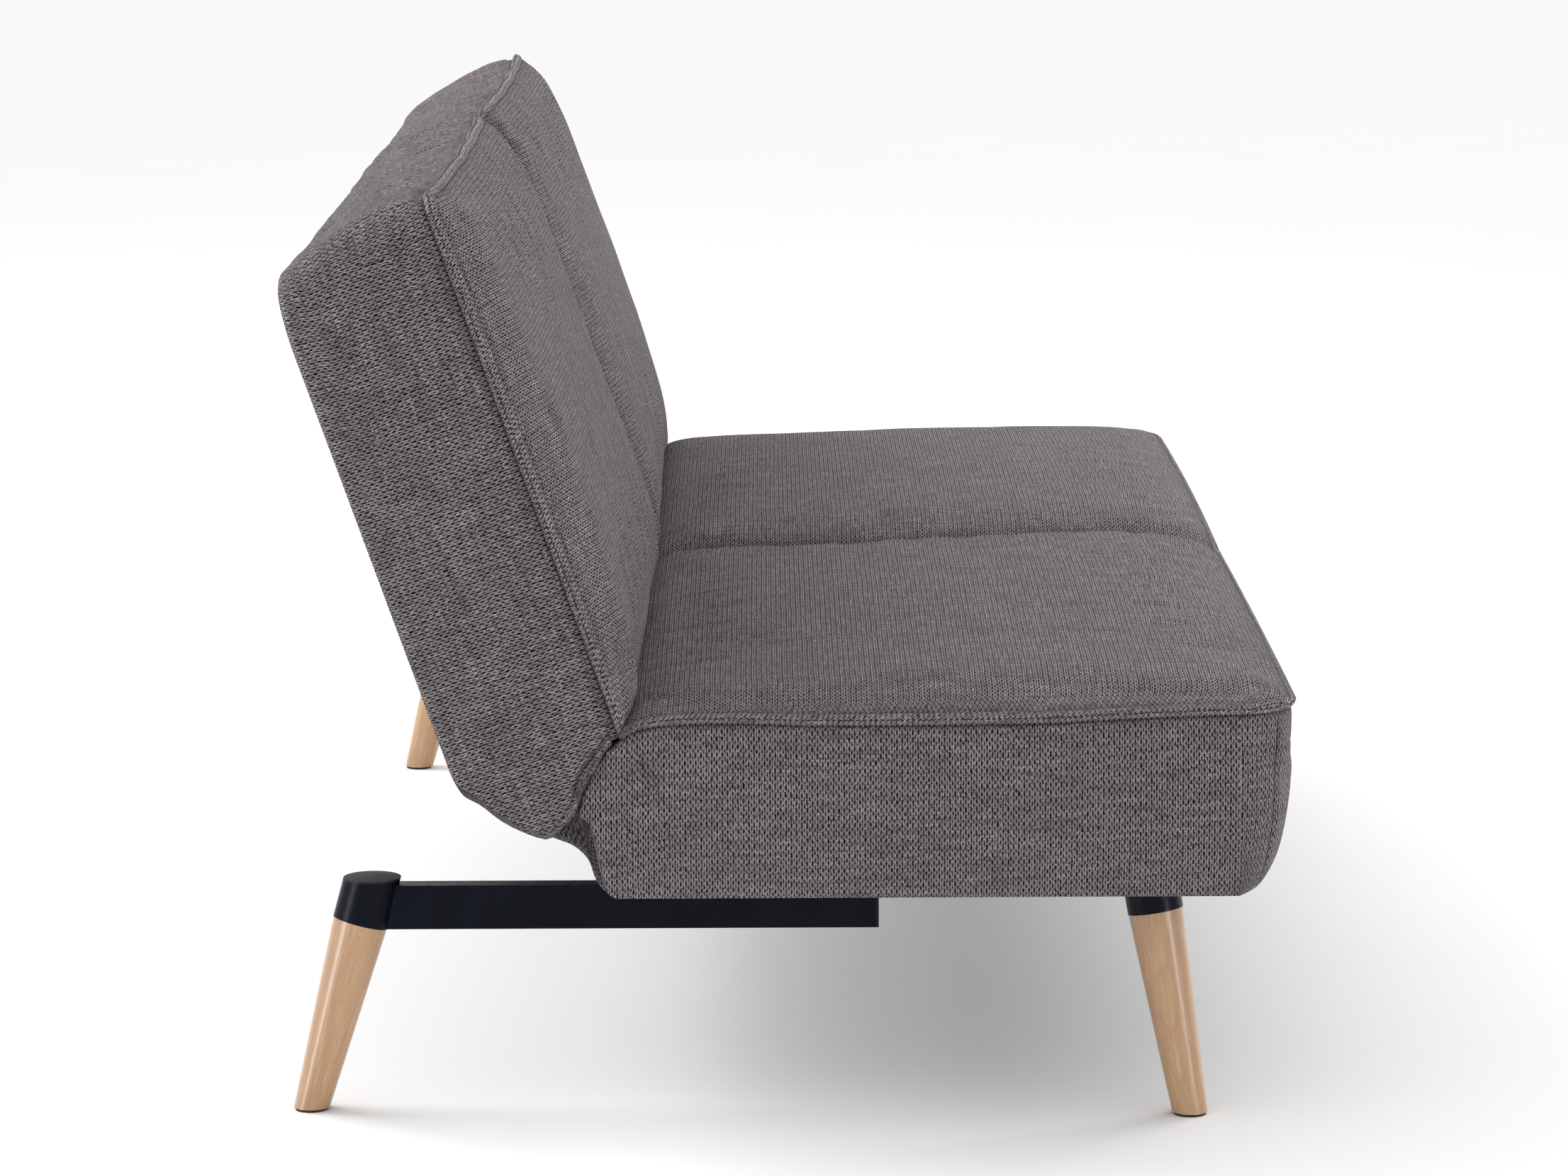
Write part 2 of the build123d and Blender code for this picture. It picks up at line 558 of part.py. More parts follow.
save("seat_hinge_bolts", both(Compound(children=[
    through_bolt(y, 229.5, PLATE_SEAT_X[1], 791.0, 784.5) for y in HINGE_BOLT_Y])))
save("back_hinge_bolts", both(BACK_LOC * Compound(children=[
    through_bolt(122.5, u, PLATE_BACK_X[1], 802.0, 795.5) for u in BACK_BOLT_U])))

# catch: hub, arm and roller nose
CX0, CX1 = 821.5, 825.5
catch = rod_x(Q[0], Q[1], 6.0, CX0, CX1) + rod_x(N0[0], N0[1], ROLLER_R, CX0, CX1)
catch += slab([(N0[0] - 3.0, N0[1] + 1.6), (N0[0] + 2.6, N0[1] + 1.2), (Q[0] - 5, Q[1] - 1.2),
               (Q[0] - 1, Q[1] + 5.6), (N0[0] - 1.0, N0[1] + 3.3)], CX0, CX1)
catch -= rod_x(Q[0], Q[1], 3.05, 815, 830)
save_pair("hinge_catch", solid_of(BACK_LOC * catch))
pin = rod_x(Q[0], Q[1], 3.0, 820.6, 831.0) + rod_x(Q[0], Q[1], 5.0, 818.8, 820.8) + rod_x(Q[0], Q[1], 4.6, 831.0, 832.6)
save("catch_pins", both(BACK_LOC * pin))
leaf = slab([(130, -20.9), (112, -20.9), (90.2, -35.2), (90.7, -36.0), (112.3, -21.8), (130, -21.8)], 821.7, 825.3)
save("catch_springs", both(BACK_LOC * leaf))

print(len(written), "nodes")
print("pivot", PIVOT, "catch pivot", to_global(*Q), "flat", FLAT_ANGLE)
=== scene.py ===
import math

import bpy
import numpy as np
from mathutils import Matrix, Vector


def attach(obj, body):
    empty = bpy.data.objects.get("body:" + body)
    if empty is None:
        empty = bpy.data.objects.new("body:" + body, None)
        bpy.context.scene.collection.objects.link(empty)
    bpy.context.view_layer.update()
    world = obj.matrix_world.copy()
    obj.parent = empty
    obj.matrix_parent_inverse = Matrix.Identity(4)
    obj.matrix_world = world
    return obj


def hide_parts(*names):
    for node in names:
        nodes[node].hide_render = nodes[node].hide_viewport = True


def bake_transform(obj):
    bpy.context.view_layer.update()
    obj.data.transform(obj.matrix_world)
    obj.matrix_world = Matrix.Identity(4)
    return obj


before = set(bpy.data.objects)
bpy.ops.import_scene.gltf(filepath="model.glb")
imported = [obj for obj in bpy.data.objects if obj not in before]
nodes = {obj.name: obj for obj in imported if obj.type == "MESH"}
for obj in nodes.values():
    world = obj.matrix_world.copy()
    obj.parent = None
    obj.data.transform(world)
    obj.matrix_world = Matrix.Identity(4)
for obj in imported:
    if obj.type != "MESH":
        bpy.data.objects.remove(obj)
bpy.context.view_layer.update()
scene = bpy.context.scene
MM = 0.001

# ------------------------------------------------------------------ camera
cam_data = bpy.data.cameras.new("main_view")
cam = bpy.data.objects.new("main_view", cam_data)
scene.collection.objects.link(cam)
scene.camera = cam
cam_data.lens = 128.536
cam_data.sensor_width = 36.0
cam_data.clip_start, cam_data.clip_end = 0.1, 120.0
th, ps, ro = 0.1622, -0.0031, -0.0037
look = Vector((math.cos(th) * math.cos(ps), math.cos(th) * math.sin(ps), -math.sin(th)))
side = look.cross(Vector((0, 0, 1))).normalized()
lift = side.cross(look)
right = side * math.cos(ro) + lift * math.sin(ro)
up = -side * math.sin(ro) + lift * math.cos(ro)
cam.matrix_world = Matrix((
    (right.x, up.x, -look.x, -5.69871),
    (right.y, up.y, -look.y, 0.02023),
    (right.z, up.z, -look.z, 1.27562),
    (0, 0, 0, 1)))


# ------------------------------------------------------------------ shader helpers
class Tree:
    """A short way to write a node tree."""

    def __init__(self, name):
        self.mat = bpy.data.materials.new(name)
        self.mat.use_nodes = True
        self.nt = self.mat.node_tree
        self.nt.nodes.clear()
        self.out = self.nt.nodes.new("ShaderNodeOutputMaterial")
        self.bsdf = self.nt.nodes.new("ShaderNodeBsdfPrincipled")
        self.nt.links.new(self.bsdf.outputs[0], self.out.inputs["Surface"])

    def put(self, socket, value):
        if value is None:
            return
        if hasattr(value, "is_output") or hasattr(value, "links"):
            self.nt.links.new(value, socket)
        else:
            socket.default_value = value

    def math(self, op, a, b=None, c=None, clamp=False):
        n = self.nt.nodes.new("ShaderNodeMath")
        n.operation = op
        n.use_clamp = clamp
        self.put(n.inputs[0], a)
        self.put(n.inputs[1], b)
        self.put(n.inputs[2], c)
        return n.outputs[0]

    def vmath(self, op, a, b=None, out=0, scale=None):
        n = self.nt.nodes.new("ShaderNodeVectorMath")
        n.operation = op
        self.put(n.inputs[0], a)
        self.put(n.inputs[1], b)
        if scale is not None:
            self.put(n.inputs["Scale"], scale)
        return n.outputs[out]

    def smooth(self, x, lo, hi, to0=0.0, to1=1.0):
        n = self.nt.nodes.new("ShaderNodeMapRange")
        n.interpolation_type = "SMOOTHSTEP"
        self.put(n.inputs["Value"], x)
        self.put(n.inputs["From Min"], lo)
        self.put(n.inputs["From Max"], hi)
        self.put(n.inputs["To Min"], to0)
        self.put(n.inputs["To Max"], to1)
        return n.outputs["Result"]

    def linear(self, x, lo, hi, to0=0.0, to1=1.0):
        n = self.nt.nodes.new("ShaderNodeMapRange")
        self.put(n.inputs["Value"], x)
        self.put(n.inputs["From Min"], lo)
        self.put(n.inputs["From Max"], hi)
        self.put(n.inputs["To Min"], to0)
        self.put(n.inputs["To Max"], to1)
        return n.outputs["Result"]

    def noise(self, vec, scale, detail=2.0, rough=0.5, dims="3D", distortion=0.0, color=False):
        n = self.nt.nodes.new("ShaderNodeTexNoise")
        n.noise_dimensions = dims
        self.put(n.inputs["Vector"], vec)
        self.put(n.inputs["Scale"], scale)
        self.put(n.inputs["Detail"], detail)
        self.put(n.inputs["Roughness"], rough)
        self.put(n.inputs["Distortion"], distortion)
        return n.outputs["Color" if color else "Fac"]

    def voronoi(self, vec, scale, feature="F1", randomness=1.0, out="Distance"):
        n = self.nt.nodes.new("ShaderNodeTexVoronoi")
        n.feature = feature
        self.put(n.inputs["Vector"], vec)
        self.put(n.inputs["Scale"], scale)
        self.put(n.inputs["Randomness"], randomness)
        return n.outputs[out]

    def attribute(self, name, out="Vector"):
        n = self.nt.nodes.new("ShaderNodeAttribute")
        n.attribute_name = name
        return n.outputs[out]

    def uv(self, name):
        n = self.nt.nodes.new("ShaderNodeUVMap")
        n.uv_map = name
        return n.outputs[0]

    def object_coords(self):
        return self.nt.nodes.new("ShaderNodeTexCoord").outputs["Object"]

    def mapping(self, vec, loc=(0, 0, 0), rot=(0, 0, 0), scale=(1, 1, 1)):
        n = self.nt.nodes.new("ShaderNodeMapping")
        self.put(n.inputs["Vector"], vec)
        n.inputs["Location"].default_value = loc
        n.inputs["Rotation"].default_value = rot
        n.inputs["Scale"].default_value = scale
        return n.outputs[0]

    def xyz(self, vec):
        n = self.nt.nodes.new("ShaderNodeSeparateXYZ")
        self.put(n.inputs[0], vec)
        return n.outputs

    def join(self, x, y, z=0.0):
        n = self.nt.nodes.new("ShaderNodeCombineXYZ")
        self.put(n.inputs[0], x)
        self.put(n.inputs[1], y)
        self.put(n.inputs[2], z)
        return n.outputs[0]

    def mix(self, fac, a, b, mode="MIX"):
        n = self.nt.nodes.new("ShaderNodeMix")
        n.data_type = "RGBA"
        n.blend_type = mode
        n.clamp_result = False
        self.put(n.inputs[0], fac)
        self.put(n.inputs[6], a if hasattr(a, "links") else (*a, 1.0))
        self.put(n.inputs[7], b if hasattr(b, "links") else (*b, 1.0))
        return n.outputs[2]

    def bump(self, height, distance, strength=1.0, normal=None):
        n = self.nt.nodes.new("ShaderNodeBump")
        self.put(n.inputs["Height"], height)
        n.inputs["Distance"].default_value = distance
        n.inputs["Strength"].default_value = strength
        if normal is not None:
            self.put(n.inputs["Normal"], normal)
        return n.outputs[0]

    def set(self, **values):
        for k, v in values.items():
            self.put(self.bsdf.inputs[k.replace("_", " ")], v)
        return self.mat


def srgb(r, g, b):
    return tuple((c / 255 / 12.92) if c <= 10 else (((c / 255) + 0.055) / 1.055) ** 2.4
                 for c in (r, g, b))


# ------------------------------------------------------------------ materials
def knit(name, dark=1.0, calm=1.0):
    """Chunky chenille knit: staggered columns of small dark pores between fuzzy pale yarns.
    The map holds metres: X across the columns, Y along them."""
    t = Tree(name)
    uv = t.uv("cloth")
    a, b = 4.63 * MM, 6.77 * MM
    # uneven yarn: the lattice wanders a little
    wob = t.noise(uv, 95.0, 2.0, 0.55, "2D", color=True)
    wob = t.vmath("MULTIPLY", t.vmath("SUBTRACT", wob, (0.5, 0.5, 0.5)), (0.0011, 0.0026, 0.0))
    wob2 = t.noise(uv, 480.0, 1.0, 0.5, "2D", color=True)
    wob2 = t.vmath("MULTIPLY", t.vmath("SUBTRACT", wob2, (0.5, 0.5, 0.5)), (0.0010, 0.0020, 0.0))
    p = t.vmath("ADD", t.vmath("ADD", uv, wob), wob2)
    cell = t.vmath("DIVIDE", p, (a, b, 1.0))
    near = []
    for off, wide, tall in (((0.0, 0.0, 0.0), 0.86, 2.40), ((0.5, 0.5, 0.0), 0.70, 1.70)):
        q = t.vmath("FRACTION", t.vmath("ADD", cell, off))
        q = t.vmath("SUBTRACT", q, (0.5, 0.5, 0.0))
        q = t.vmath("MULTIPLY", q, (a / (wide * MM), b / (tall * MM), 0.0))
        near.append(t.vmath("LENGTH", q, out=1))
    d = t.math("MINIMUM", near[0], near[1])
    uneven = t.noise(uv, 260.0, 2.0, 0.6, "2D")
    d = t.math("ADD", d, t.math("MULTIPLY", t.math("SUBTRACT", uneven, 0.5), 1.3))
    pore = t.smooth(d, 0.68, 1.34, 1.0, 0.0)
    # the yarn runs up between the pore lines in nested V stitches
    u, v, _ = t.xyz(p)
    saw = t.math("PINGPONG", t.math("MULTIPLY", v, 2.0 / b), 1.0)
    col = t.math("FRACT", t.math("ADD", t.math("MULTIPLY", u, 2.0 / a), t.math("MULTIPLY", saw, 0.08)))
    off = t.math("MULTIPLY", t.math("ABSOLUTE", t.math("SUBTRACT", col, 0.5)), 2.0)
    rib = t.math("SUBTRACT", 1.0, off)
    leg = t.math("FRACT", t.math("ADD", t.math("MULTIPLY", v, 2.0 / b), t.math("MULTIPLY", rib, 0.75)))
    leg = t.math("MULTIPLY", t.math("ABSOLUTE", t.math("SUBTRACT", leg, 0.5)), 2.0)
    leg = t.smooth(leg, 0.60, 1.0)
    fuzz = t.noise(uv, 1250.0, 3.0, 0.7, "2D")
    fuzz2 = t.noise(uv, 430.0, 2.0, 0.6, "2D")
    slub = t.noise(t.vmath("MULTIPLY", uv, (30.0, 400.0, 1.0)), 1.0, 2.0, 0.55, "2D")
    slub = t.smooth(slub, 0.50, 0.74)
    streak = t.noise(t.vmath("MULTIPLY", uv, (16.0, 230.0, 1.0)), 1.0, 3.0, 0.6, "2D")
    patch = t.noise(uv, 20.0, 3.0, 0.55, "2D")
    warm = t.noise(uv, 230.0, 2.0, 0.6, "2D", color=True)

    yarn = t.mix(t.smooth(fuzz, 0.32, 0.68), srgb(75 * dark, 67 * dark, 67 * dark),
                 srgb(191 * dark, 181 * dark, 182 * dark))
    yarn = t.mix(t.math("MULTIPLY", t.smooth(fuzz2, 0.38, 0.70), 0.45), yarn,
                 srgb(199 * dark, 188 * dark, 191 * dark))
    hue = t.vmath("SUBTRACT", warm, (0.5, 0.5, 0.5))
    hue = t.vmath("MULTIPLY", hue, (0.055 * dark, 0.022 * dark, 0.050 * dark))
    yarn = t.vmath("MAXIMUM", t.vmath("ADD", yarn, hue), (0.01, 0.01, 0.01))
    shade = t.math("ADD", t.linear(patch, 0.3, 0.7, 0.95, 1.05), t.math("MULTIPLY", slub, 0.30 * calm))
    shade = t.math("MULTIPLY", shade, t.linear(streak, 0.3, 0.7, 0.92, 1.07))
    # each course of stitches has its own strength for a hand's width
    row = t.math("FLOOR", t.math("MULTIPLY", v, 2.0 / b))
    course = t.noise(t.join(t.math("MULTIPLY", u, 17.0), t.math("MULTIPLY", row, 3.71)), 1.0, 2.0, 0.6, "2D")
    shade = t.math("MULTIPLY", shade, t.linear(course, 0.3, 0.7, 0.83, 1.15))
    # on the panels the yarn's strength changes every few stitches along a column
    dash = t.noise(t.vmath("MULTIPLY", uv, (430.0, 24.0, 1.0)), 1.0, 2.0, 0.62, "2D")
    dash = t.math("SUBTRACT", t.linear(dash, 0.32, 0.68, 0.76, 1.20), 1.0)
    dash = t.math("MULTIPLY", dash, t.math("GREATER_THAN", v, -1.0))
    shade = t.math("MULTIPLY", shade, t.math("ADD", dash, 1.0))
    lane = t.math("PINGPONG", t.math("MULTIPLY", u, 2.0 / a), 1.0)
    shade = t.math("MULTIPLY", shade, t.linear(lane, 0.0, 1.0, 1.07, 0.90))
    shade = t.math("MULTIPLY", shade, t.linear(rib, 0.0, 0.75, 0.62, 1.12))
    shade = t.math("MULTIPLY", shade, t.linear(leg, 0.0, 1.0, 1.03, 0.90))
    # painted shade and painted highlight: a per-point mesh attribute darkens the knit where positive (sewn valleys,
    # beside and under the welt, pressed folds, the crease fabric) and lightens it where negative (the welt's roll,
    # rolled edges)
    tuck_and_painted_shade = t.attribute("tuck_and_painted_shade", "Fac")
    shade = t.math("MULTIPLY", shade, t.linear(tuck_and_painted_shade, 0.0, 1.0, 1.0, 0.45))
    shade = t.math("MULTIPLY", shade, t.linear(tuck_and_painted_shade, -1.0, 0.0, 1.30, 1.0))
    yarn = t.vmath("MULTIPLY", yarn, t.join(shade, shade, shade))
    depth = t.math("MULTIPLY", pore, t.linear(t.noise(uv, 150.0, 2.0, 0.5, "2D"), 0.35, 0.65, 0.80, 1.0))
    base = t.mix(depth, yarn, srgb(13 * dark, 10 * dark, 9 * dark))
    height = t.math("MULTIPLY", pore, -0.95)
    height = t.math("ADD", height, t.math("MULTIPLY", rib, 0.50))
    height = t.math("ADD", height, t.math("MULTIPLY", leg, -0.30))
    height = t.math("ADD", height, t.math("MULTIPLY", fuzz, 0.42))
    height = t.math("ADD", height, t.math("MULTIPLY", fuzz2, 0.45))
    height = t.math("ADD", height, t.math("MULTIPLY", slub, 0.20))
    normal = t.bump(height, 0.0014, 0.9)
    soft = t.noise(uv, 34.0, 3.0, 0.5, "2D")
    normal = t.bump(soft, 0.0035, 0.3, normal)
    return t.set(Base_Color=base, Roughness=0.97, Normal=normal, Specular_IOR_Level=0.08,
                 Sheen_Weight=0.10, Sheen_Roughness=0.4, Sheen_Tint=(0.95, 0.93, 0.95, 1.0))


def thread(name):
    t = Tree(name)
    co = t.object_coords()
    twist = t.noise(co, 2600.0, 2.0, 0.6)
    # near-black thread: painted shade where each stitch sinks into the knit
    col = t.mix(t.smooth(twist, 0.3, 0.7), srgb(24, 20, 19), srgb(46, 40, 38))
    return t.set(Base_Color=col, Roughness=0.8, Normal=t.bump(twist, 0.0003, 0.8),
                 Specular_IOR_Level=0.25, Sheen_Weight=0.15)


def powder_coat(name, tint=(2, 5, 17)):
    """Satin black powder coat with its faint orange-peel."""
    t = Tree(name)
    co = t.object_coords()
    peel = t.noise(co, 900.0, 2.0, 0.5)
    wave = t.noise(co, 170.0, 2.0, 0.5)
    dust = t.noise(co, 3800.0, 1.0, 0.5)
    worn = t.noise(co, 14.0, 4.0, 0.6)
    base = t.mix(t.smooth(worn, 0.35, 0.75), srgb(*tint), srgb(tint[0] + 7, tint[1] + 8, tint[2] + 9))
    base = t.mix(t.math("MULTIPLY", t.smooth(dust, 0.66, 0.80), 0.10), base, srgb(70, 72, 76))
    rough = t.math("ADD", t.linear(wave, 0.3, 0.7, 0.26, 0.36), t.math("MULTIPLY", worn, 0.05))
    normal = t.bump(peel, 0.00006, 0.5, t.bump(wave, 0.0003, 0.2))
    return t.set(Base_Color=base, Roughness=rough, Normal=normal, Specular_IOR_Level=0.09)


def plastic(name, rgb, rough=0.42):
    t = Tree(name)
    co = t.object_coords()
    grain = t.noise(co, 1600.0, 3.0, 0.6)
    scuff = t.noise(t.vmath("MULTIPLY", co, (30.0, 900.0, 60.0)), 1.0, 3.0, 0.6)
    cloud = t.noise(co, 40.0, 3.0, 0.55)
    lighter = tuple(min(1.0, c * 1.5 + 0.004) for c in srgb(*rgb))
    base = t.mix(t.smooth(cloud, 0.35, 0.7), srgb(*rgb), lighter)
    r = t.math("ADD", t.linear(grain, 0.3, 0.7, rough - 0.05, rough + 0.07),
               t.math("MULTIPLY", t.smooth(scuff, 0.6, 0.8), 0.12))
    return t.set(Base_Color=base, Roughness=r, Normal=t.bump(grain, 0.00009, 0.5),
                 Specular_IOR_Level=0.2)


def metal(name, rgb, rough=0.35, brushed=(40.0, 40.0, 900.0)):
    t = Tree(name)
    co = t.object_coords()
    brush = t.noise(t.vmath("MULTIPLY", co, brushed), 1.0, 3.0, 0.6)
    spangle = t.voronoi(co, 160.0, out="Color")
    tone = t.math("MULTIPLY", t.xyz(spangle)[0], 0.18)
    c0 = srgb(*rgb)
    base = t.mix(t.math("ADD", t.smooth(brush, 0.3, 0.7), tone, clamp=True),
                 tuple(c * 0.72 for c in c0), c0)
    return t.set(Base_Color=base, Metallic=1.0, Roughness=t.linear(brush, 0.3, 0.7, rough - 0.08, rough + 0.1),
                 Normal=t.bump(brush, 0.00008, 0.4))


def leg_wood(name, foot, top):
    """Pale beech: fine straight grain along the leg with short flecks."""
    t = Tree(name)
    axis = (Vector(top) - Vector(foot)).normalized()
    e = axis.to_track_quat("Z", "Y").to_matrix().transposed().to_euler("XYZ")
    co = t.vmath("SUBTRACT", t.object_coords(), tuple(foot))
    co = t.mapping(co, rot=tuple(e))
    x, y, z = t.xyz(co)
    bend = t.noise(t.vmath("MULTIPLY", co, (6.0, 6.0, 3.0)), 1.0, 2.0, 0.5, color=True)
    bend = t.vmath("MULTIPLY", t.vmath("SUBTRACT", bend, (0.5, 0.5, 0.5)), (0.010, 0.010, 0.0))
    cw = t.vmath("ADD", co, bend)
    # growth rings seen on the flank as long cathedral lines
    ring = t.vmath("ADD", t.vmath("MULTIPLY", cw, (1.0, 1.0, 0.10)), (0.061, 0.017, 0.0))
    rx, ry, rz = t.xyz(ring)
    r = t.math("SQRT", t.math("ADD", t.math("MULTIPLY", rx, rx), t.math("MULTIPLY", ry, ry)))
    r = t.math("ADD", t.math("MULTIPLY", r, 260.0), t.math("MULTIPLY", rz, 55.0))
    saw = t.math("FRACT", r)
    late = t.smooth(saw, 0.62, 0.97)
    fibre = t.noise(t.vmath("MULTIPLY", cw, (1500.0, 1500.0, 24.0)), 1.0, 3.0, 0.6)
    fibre2 = t.noise(t.vmath("MULTIPLY", cw, (520.0, 520.0, 7.0)), 1.0, 2.0, 0.55)
    fleck = t.voronoi(t.vmath("MULTIPLY", cw, (620.0, 620.0, 95.0)), 1.0, out="Distance")
    fleck = t.smooth(fleck, 0.05, 0.24, 1.0, 0.0)
    keep = t.smooth(t.noise(t.vmath("MULTIPLY", cw, (160.0, 160.0, 18.0)), 1.0, 2.0, 0.5), 0.52, 0.62)
    fleck = t.math("MULTIPLY", fleck, keep)
    tone = t.noise(t.vmath("MULTIPLY", cw, (34.0, 34.0, 2.2)), 1.0, 3.0, 0.55)
    base = t.mix(t.smooth(tone, 0.3, 0.7), srgb(189, 152, 114), srgb(169, 131, 95))
    base = t.mix(t.math("MULTIPLY", late, 0.26), base, srgb(166, 120, 80))
    base = t.mix(t.math("MULTIPLY", t.smooth(fibre, 0.35, 0.75), 0.30), base, srgb(160, 114, 76))
    base = t.mix(t.math("MULTIPLY", t.smooth(fibre2, 0.45, 0.8), 0.30), base, srgb(230, 196, 158))
    base = t.mix(t.math("MULTIPLY", fleck, 0.60), base, srgb(150, 98, 58))
    # darker towards the foot, over the lowest 35 mm of the leg
    low = t.smooth(z, 0.0, 0.035, 0.10, 0.0)
    base = t.mix(low, base, srgb(120, 88, 60))
    height = t.math("ADD", t.math("MULTIPLY", fibre, 0.6), t.math("MULTIPLY", fleck, -0.5))
    rough = t.math("ADD", t.linear(fibre2, 0.3, 0.7, 0.30, 0.40), t.math("MULTIPLY", fleck, 0.15))
    return t.set(Base_Color=base, Roughness=rough, Normal=t.bump(height, 0.00012, 0.6),
                 Specular_IOR_Level=0.45, Coat_Weight=0.40, Coat_Roughness=0.24)


def nonwoven(name, rgb=(17, 17, 18)):
    """Thin spun-bonded cloth with its grid of small weld points."""
    t = Tree(name)
    uv = t.uv("cloth")
    cell = t.vmath("DIVIDE", uv, (0.0022, 0.0022, 1.0))
    q = t.vmath("SUBTRACT", t.vmath("FRACTION", cell), (0.5, 0.5, 0.0))
    q = t.vmath("MULTIPLY", q, (1.0, 1.0, 0.0))
    weld = t.smooth(t.vmath("LENGTH", q, out=1), 0.16, 0.28, 1.0, 0.0)
    fibre = t.noise(t.vmath("MULTIPLY", uv, (900.0, 2600.0, 1.0)), 1.0, 3.0, 0.7, "2D", 1.5)
    cloud = t.noise(uv, 30.0, 4.0, 0.6, "2D")
    base = t.mix(t.smooth(fibre, 0.35, 0.7), srgb(*rgb), tuple(c * 2.6 for c in srgb(*rgb)))
    base = t.mix(t.math("MULTIPLY", weld, 0.6), base, tuple(c * 0.5 for c in srgb(*rgb)))
    base = t.mix(t.math("MULTIPLY", t.smooth(cloud, 0.4, 0.7), 0.25), base, tuple(c * 2.2 for c in srgb(*rgb)))
    height = t.math("ADD", t.math("MULTIPLY", weld, -0.6), t.math("MULTIPLY", fibre, 0.5))
    return t.set(Base_Color=base, Roughness=0.85, Normal=t.bump(height, 0.00025, 0.7),
                 Specular_IOR_Level=0.25, Sheen_Weight=0.1)


def felt(name, rgb_a, rgb_b, scale=700.0):
    t = Tree(name)
    co = t.object_coords()
    fluff = t.noise(co, scale, 4.0, 0.7, distortion=0.6)
    cloud = t.noise(co, 35.0, 3.0, 0.6)
    base = t.mix(t.smooth(fluff, 0.3, 0.7), srgb(*rgb_a), srgb(*rgb_b))
    base = t.mix(t.math("MULTIPLY", t.smooth(cloud, 0.35, 0.7), 0.25), base, srgb(*rgb_a))
    return t.set(Base_Color=base, Roughness=0.95, Normal=t.bump(fluff, 0.0008, 0.7),
                 Specular_IOR_Level=0.15, Sheen_Weight=0.2)


def board_wood(name):
    t = Tree(name)
    co = t.object_coords()
    chip = t.voronoi(t.vmath("MULTIPLY", co, (60.0, 420.0, 420.0)), 1.0, out="Color")
    fibre = t.noise(t.vmath("MULTIPLY", co, (40.0, 900.0, 900.0)), 1.0, 3.0, 0.6)
    base = t.mix(t.xyz(chip)[0], srgb(150, 116, 78), srgb(186, 150, 106))
    base = t.mix(t.math("MULTIPLY", fibre, 0.4), base, srgb(126, 94, 60))
    return t.set(Base_Color=base, Roughness=0.75, Normal=t.bump(fibre, 0.0003, 0.6))


M = {
    "knit": knit("knit_cover", dark=0.877),
    # the same knit made darker: painted shade for the fabric down in the crease
    "knit_painted_shade": knit("knit_painted_shade", dark=0.80),
    "thread": thread("stitch_thread"),
    "coat": powder_coat("powder_coat"),
    "cap": plastic("cap_plastic", (10, 12, 18), 0.50),
    "plug": plastic("plug_plastic", (13, 14, 17), 0.45),
    "glide": plastic("glide_plastic", (42, 38, 34), 0.6),
    "nylon": plastic("nylon", (224, 222, 208), 0.4),
    "spring": metal("spring_steel", (150, 150, 152), 0.38),
    "zinc": metal("zinc_steel", (176, 178, 172), 0.34),
    "dust": nonwoven("dust_cloth"),
    "felt": felt("felt_pad", (70, 70, 74), (112, 112, 118)),
    "wadding": felt("wadding_fill", (220, 219, 214), (244, 243, 240), 420.0),
    "foam": felt("foam_block", (214, 201, 158), (236, 224, 184), 1300.0),
    "board": board_wood("back_board"),
}


def dress(node, mat):
    me = nodes[node].data
    me.materials.clear()
    me.materials.append(mat)


for n in ("seat_frame", "back_frame", "left_side_rail", "right_side_rail", "left_rear_cup",
          "right_rear_cup", "left_front_cup", "right_front_cup", "left_seat_hinge_plate",
          "right_seat_hinge_plate", "left_back_hinge_plate", "right_back_hinge_plate",
          "rail_spacers"):
    dress(n, M["coat"])
for n in ("rear_cup_caps",):
    dress(n, M["cap"])
dress("rail_end_plugs", M["plug"])
dress("foot_glides", M["glide"])
dress("hinge_washers", M["nylon"])
for n in ("seat_springs", "back_springs", "catch_springs"):
    dress(n, M["spring"])
for n in ("seat_spring_clips", "back_spring_clips"):
    dress(n, M["plug"])
dress("rail_bolts", M["coat"])
for n in ("pivot_bolts", "pivot_nuts", "seat_hinge_bolts", "back_hinge_bolts",
          "leg_hanger_bolts", "catch_pins", "left_hinge_catch", "right_hinge_catch"):
    dress(n, M["zinc"])
dress("seat_felt_pad", M["felt"])
dress("back_felt_pad", M["felt"])
dress("back_rear_wadding", M["wadding"])
dress("back_rear_board", M["board"])
dress("seat_foam", M["foam"])
dress("back_foam", M["foam"])

REAR_FOOT, REAR_TOP = (0.797, 0.4325, 0.0), (0.780, 0.376, 0.208)
FRONT_FOOT, FRONT_TOP = (0.827, -0.357, 0.0), (0.806, -0.3205, 0.2145)
for i, (n, foot, top) in enumerate((("left_rear_leg", REAR_FOOT, REAR_TOP),
                                    ("right_rear_leg", REAR_FOOT, REAR_TOP),
                                    ("left_front_leg", FRONT_FOOT, FRONT_TOP),
                                    ("right_front_leg", FRONT_FOOT, FRONT_TOP))):
    sx = 1 if n.startswith("left") else -1
    dress(n, leg_wood("beech_" + n, (sx * foot[0], foot[1], foot[2]), (sx * top[0], top[1], top[2])))


